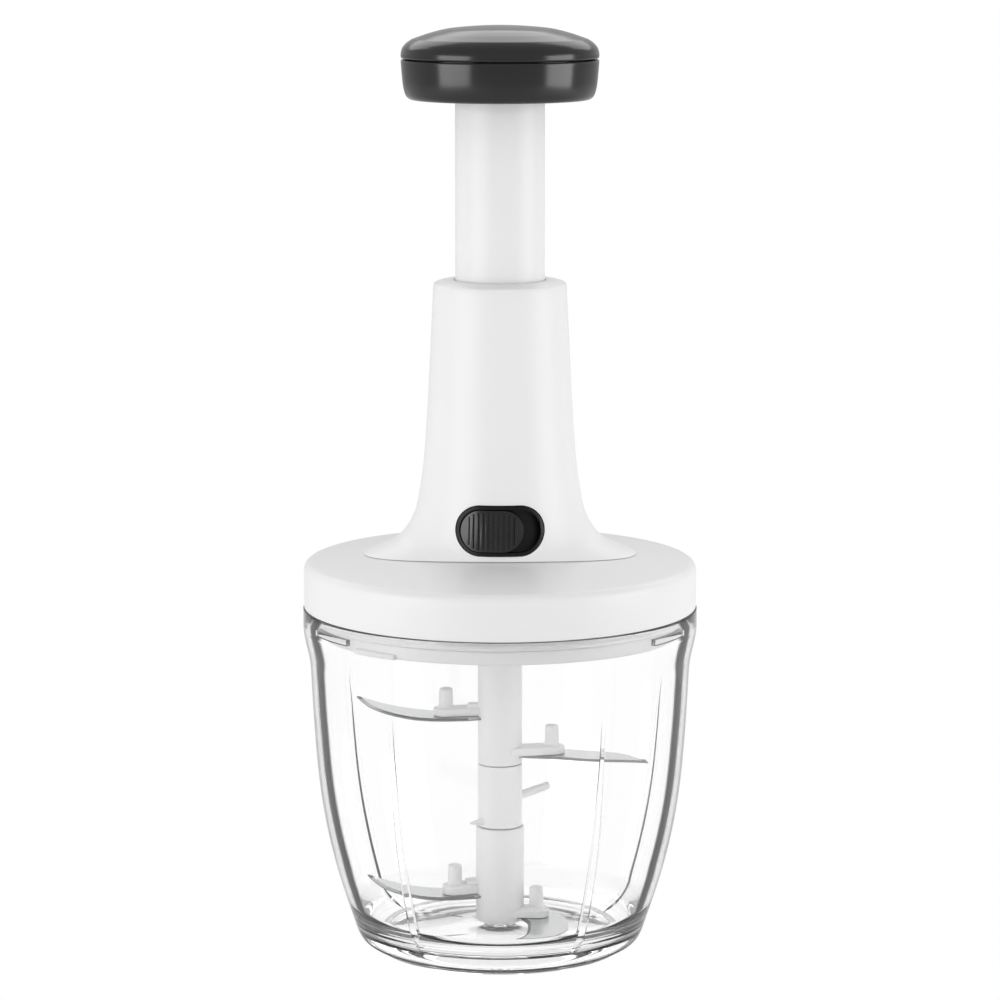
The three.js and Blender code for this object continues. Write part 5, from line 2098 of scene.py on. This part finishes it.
@dataclass
class Plunger:
    """The white tube and the round black knob on it."""

    sides: int = 192
    dome_steps: int = 40
    tube_radius: float = 14.7
    tube_wall: float = 2.4
    tube_bottom: float = 192.0
    tube_top: float = 290.97
    cap: float = 2.0
    hole: float = 1.8
    boss_radius: float = 4.2
    boss_length: float = 8.0
    notch_level: float = 199.87
    notch_half: float = 1.95
    notch_sweep: float = 3.4
    notch_reach: Point = (-20.0, -8.0)
    entry_turn: float = -5.5
    knob_base: float = 283.27
    knob_radius: float = 32.4
    ring_height: float = 13.0
    knob_wall: float = 2.2
    knob_gap: float = 0.3
    socket: float = 15.0
    lip_depth: float = 4.0
    lip_rise: float = 0.22
    # The ring's outside, as shares of the knob's radius and heights above its base
    ring_side: tuple[Point, ...] = (
        (0.86, 0.0),
        (0.905, 0.12),
        (0.94, 0.9),
        (0.962, 2.3),
        (0.98, 5.0),
        (0.991, 8.6),
        (1.0, 12.55),
    )
    # The cap's shoulder and crown, as how far they lie within the radius and above the cap's base
    shoulder: tuple[Point, ...] = (
        (1.1, 0.22),
        (0.2, 0.55),
        (0.0, 1.3),
        (0.1, 2.5),
        (0.5, 3.75),
        (1.4, 4.95),
        (2.5, 5.85),
        (3.7, 6.6),
    )
    crown: tuple[Point, ...] = (
        (3.7, 6.6),
        (5.9, 7.38),
        (9.8, 8.65),
        (15.5, 10.0),
        (23.4, 10.77),
        (29.5, 11.06),
        (32.4, 11.1),
    )
    # The same for the cap's underside
    hollow: tuple[Point, ...] = ((32.4, 11.1), (20.0, 10.0), (6.5, 6.6))

    def tube(self) -> Piece:
        """The tube, closed on top, with the lock's notch near its foot.

        Returns:
            The closed solid.
        """
        inside = self.tube_radius - self.tube_wall
        boss_base = self.tube_top - self.cap - self.boss_length
        line = rounded(
            [
                (inside, self.tube_bottom, 0.3),
                (self.tube_radius, self.tube_bottom, 0.4),
                (self.tube_radius, self.tube_top, 0.4),
                (self.hole, self.tube_top, 0),
                (self.hole, boss_base, 0),
                (self.boss_radius, boss_base, 0.3),
                (self.boss_radius, self.tube_top - self.cap, 0.6),
                (inside, self.tube_top - self.cap, 0.6),
            ],
            ring=True,
        )
        piece = Bench.turned("plunger_tube_moulding", line, self.sides, True)
        half, high = self.notch_half, self.notch_level + self.notch_half
        far, near = self.notch_reach
        entry = Bench.block("entry", (-half, far, self.tube_bottom - 2), (half, near, high))
        Bench.cut(piece, Bench.turn(entry, self.entry_turn), Cut.AWAY)
        low, sweep = self.notch_level - half, self.notch_sweep
        way = Bench.block("way", (-sweep, far, low), (sweep, near, high))
        return Bench.cut(piece, way, Cut.AWAY)

    def ring(self) -> Piece:
        """The knob's lower ring, tapered and rounded to its bottom.

        Returns:
            The closed solid.
        """
        base, radius, wall = self.knob_base, self.knob_radius, self.knob_wall
        top = base + self.ring_height
        bridge = self.tube_top + self.knob_gap
        line = [
            (self.socket, base),
            *flowing([(share * radius, base + up) for share, up in self.ring_side], 26),
            (radius - 0.12, top - 0.12),
            (radius - 0.4, top),
            (radius - wall, top),
            (radius - wall, base + wall),
            (self.socket + wall, base + wall),
            (self.socket + wall, bridge + wall),
            (self.hole, bridge + wall),
            (self.hole, bridge),
            (self.socket, bridge),
        ]
        return Bench.turned("knob_ring_moulding", line, self.sides, True)

    def dome(self) -> Piece:
        """The knob's cap: a low dome with a soft crease above its rounded shoulder.

        Returns:
            The closed solid.
        """
        base, radius, wall = self.knob_base + self.ring_height, self.knob_radius, self.knob_wall
        shoulder, crown, hollow = (
            [(radius - slack, base + up) for slack, up in table]
            for table in (self.shoulder, self.crown, self.hollow)
        )
        lip = radius - wall - self.knob_gap
        line = [
            (lip, base + self.lip_rise),
            *flowing(shoulder, self.dome_steps),
            *flowing(crown, self.dome_steps)[1:],
            *((spot, height - wall) for spot, height in hollow),
            (lip - wall, base + 0.6),
            (lip - wall, base - self.lip_depth),
            (lip, base - self.lip_depth),
            (lip, base + self.lip_rise),
        ]
        return Bench.turned("knob_cap_moulding", line, self.sides)

    def build(self, shop: Shop) -> None:
        """Builds and dresses the plunger.

        Args:
            shop: dresses the pieces and sets them on their bodies.
        """
        shop.fit(Bench.smooth(self.tube(), 35), WHITE, Body.PLUNGER, "plunger_tube")
        shop.fit(Bench.smooth(self.ring(), 40), KNOB_BLACK, Body.PLUNGER, "knob_ring")
        shop.fit(Bench.smooth(self.dome(), 40), KNOB_BLACK, Body.PLUNGER, "knob_cap")
        shop.dress(INNER_GREY, "drive_nut")
        shop.dress(WORKS_STEEL, "knob_screw")


@dataclass
class SoftLight:
    """One soft area light that faces the object."""

    name: str
    azimuth: float
    elevation: float
    distance: float
    wide: float
    tall: float
    power: float
    aim: Row = (0.0, 0.0, 0.16)

    def place(self) -> None:
        """Adds the light to the scene."""
        data = bpy.data.lights.new(self.name, "AREA")
        data.shape = "RECTANGLE"
        data.size = self.wide
        data.size_y = self.tall
        data.energy = self.power
        light = bpy.data.objects.new(self.name, data)
        bpy.context.scene.collection.objects.link(light)
        turn, rise = math.radians(self.azimuth), math.radians(self.elevation)
        flat = math.cos(rise)
        way = Vector((math.sin(turn) * flat, -math.cos(turn) * flat, math.sin(rise)))
        light.location = Vector(self.aim) + way * self.distance
        light.rotation_euler = way.to_track_quat("Z", "Y").to_euler()


@dataclass
class Studio:
    """The pale floor, the soft lights, the sky and the camera."""

    floor_size: float = 40.0
    floor_white: float = 0.8
    sky_level: float = 0.58
    camera_back: float = 1.217
    camera_up: float = 0.350
    camera_pitch: float = 9.3
    lens: float = 133.6
    sensor: float = 36.0
    clip: Point = (0.05, 200.0)
    lights: tuple[SoftLight, ...] = field(
        default_factory=lambda: (
            SoftLight("left_softbox", -55.0, 6.0, 1.1, 0.8, 0.56, 5.4),
            SoftLight("right_softbox", 74.0, 6.0, 1.1, 0.74, 0.56, 5.2),
            SoftLight("back_softbox", 180.0, 39.5, 1.5, 3.0, 0.93, 12.0, (0.0, 0.0, 0.3)),
        )
    )

    @staticmethod
    def show_plain(
        tree: bpy.types.NodeTree,
        lit: bpy.types.Node,
        plain: bpy.types.Node,
        output: bpy.types.Node,
    ) -> None:
        """Shows the plain shader straight on and through clear plastic, the lit one in mirrorings.

        Args:
            tree: the material's or the world's nodes.
            lit: the shader that lights the object.
            plain: the shader that is seen behind it.
            output: the output node.
        """
        path = tree.nodes.new("ShaderNodeLightPath").outputs
        seen, unmirrored, share = (tree.nodes.new("ShaderNodeMath") for _ in range(3))
        mixed = tree.nodes.new("ShaderNodeMixShader")
        seen.operation = "MAXIMUM"
        unmirrored.operation = "LESS_THAN"
        unmirrored.inputs[1].default_value = MIRRORINGS
        share.operation = "MULTIPLY"
        links = (
            (path["Is Camera Ray"], seen.inputs[0]),
            (path["Is Transmission Ray"], seen.inputs[1]),
            (path["Glossy Depth"], unmirrored.inputs[0]),
            (seen.outputs[0], share.inputs[0]),
            (unmirrored.outputs[0], share.inputs[1]),
            (share.outputs[0], mixed.inputs["Fac"]),
            (lit.outputs[0], mixed.inputs[1]),
            (plain.outputs[0], mixed.inputs[2]),
            (mixed.outputs[0], output.inputs["Surface"]),
        )
        for source, target in links:
            tree.links.new(source, target)

    def floor(self) -> None:
        """A wide pale floor that glows faintly, so that it stays white."""
        Bench.clear()
        bpy.ops.mesh.primitive_grid_add(
            x_subdivisions=8, y_subdivisions=8, size=self.floor_size, location=(0, 0, 0)
        )
        plane = bpy.context.active_object
        plane.name = "pale_floor"
        shader = Shader("pale_floor")
        white = (*[self.floor_white] * 3, 1.0)
        shader.give({"Base Color": white, "Roughness": 0.9, "Specular IOR Level": 0.0})
        glow = shader.node("ShaderNodeEmission")
        output = next(n for n in shader.tree.nodes if n.type == "OUTPUT_MATERIAL")
        self.show_plain(shader.tree, shader.base, glow, output)
        plane.data.materials.append(shader.material)

    def sky(self) -> None:
        """A soft even sky that looks plain white straight on and through clear plastic."""
        world = bpy.data.worlds.new("soft_sky")
        bpy.context.scene.world = world
        world.use_nodes = True
        tree = world.node_tree
        tree.nodes.clear()
        output = tree.nodes.new("ShaderNodeOutputWorld")
        dome = tree.nodes.new("ShaderNodeBackground")
        plain = tree.nodes.new("ShaderNodeBackground")
        self.show_plain(tree, dome, plain, output)
        for sky, level in ((dome, self.sky_level), (plain, 1.0)):
            sky.inputs["Color"].default_value = (1.0, 1.0, 1.0, 1.0)
            sky.inputs["Strength"].default_value = level

    def camera(self) -> None:
        """The camera at the photograph's viewing angle."""
        data = bpy.data.cameras.new("product_camera")
        data.lens = self.lens
        data.sensor_width = self.sensor
        data.clip_start, data.clip_end = self.clip
        camera = bpy.data.objects.new("product_camera", data)
        bpy.context.scene.collection.objects.link(camera)
        camera.location = (0.0, -self.camera_back, self.camera_up)
        camera.rotation_euler = (math.radians(90 - self.camera_pitch), 0.0, 0.0)
        bpy.context.scene.camera = camera

    def build(self) -> None:
        """Sets up the studio."""
        self.camera()
        self.floor()
        self.sky()
        for light in self.lights:
            light.place()
        bpy.context.scene.view_settings.view_transform = "Standard"


def main() -> None:
    """Builds the studio and every sub-assembly in order."""
    logging.basicConfig(level=logging.INFO, format="%(name)s: %(message)s")
    shop = Shop()
    Studio().build()
    lid = Lid()
    tower = Tower(lid)
    for part in (Bowl(), Cutter(), lid, tower, Lock(tower), Drive(), Plunger()):
        part.build(shop)
        log.info("%s is done", type(part).__name__)
    Bench.clear()


if __name__ == "__main__":
    main()
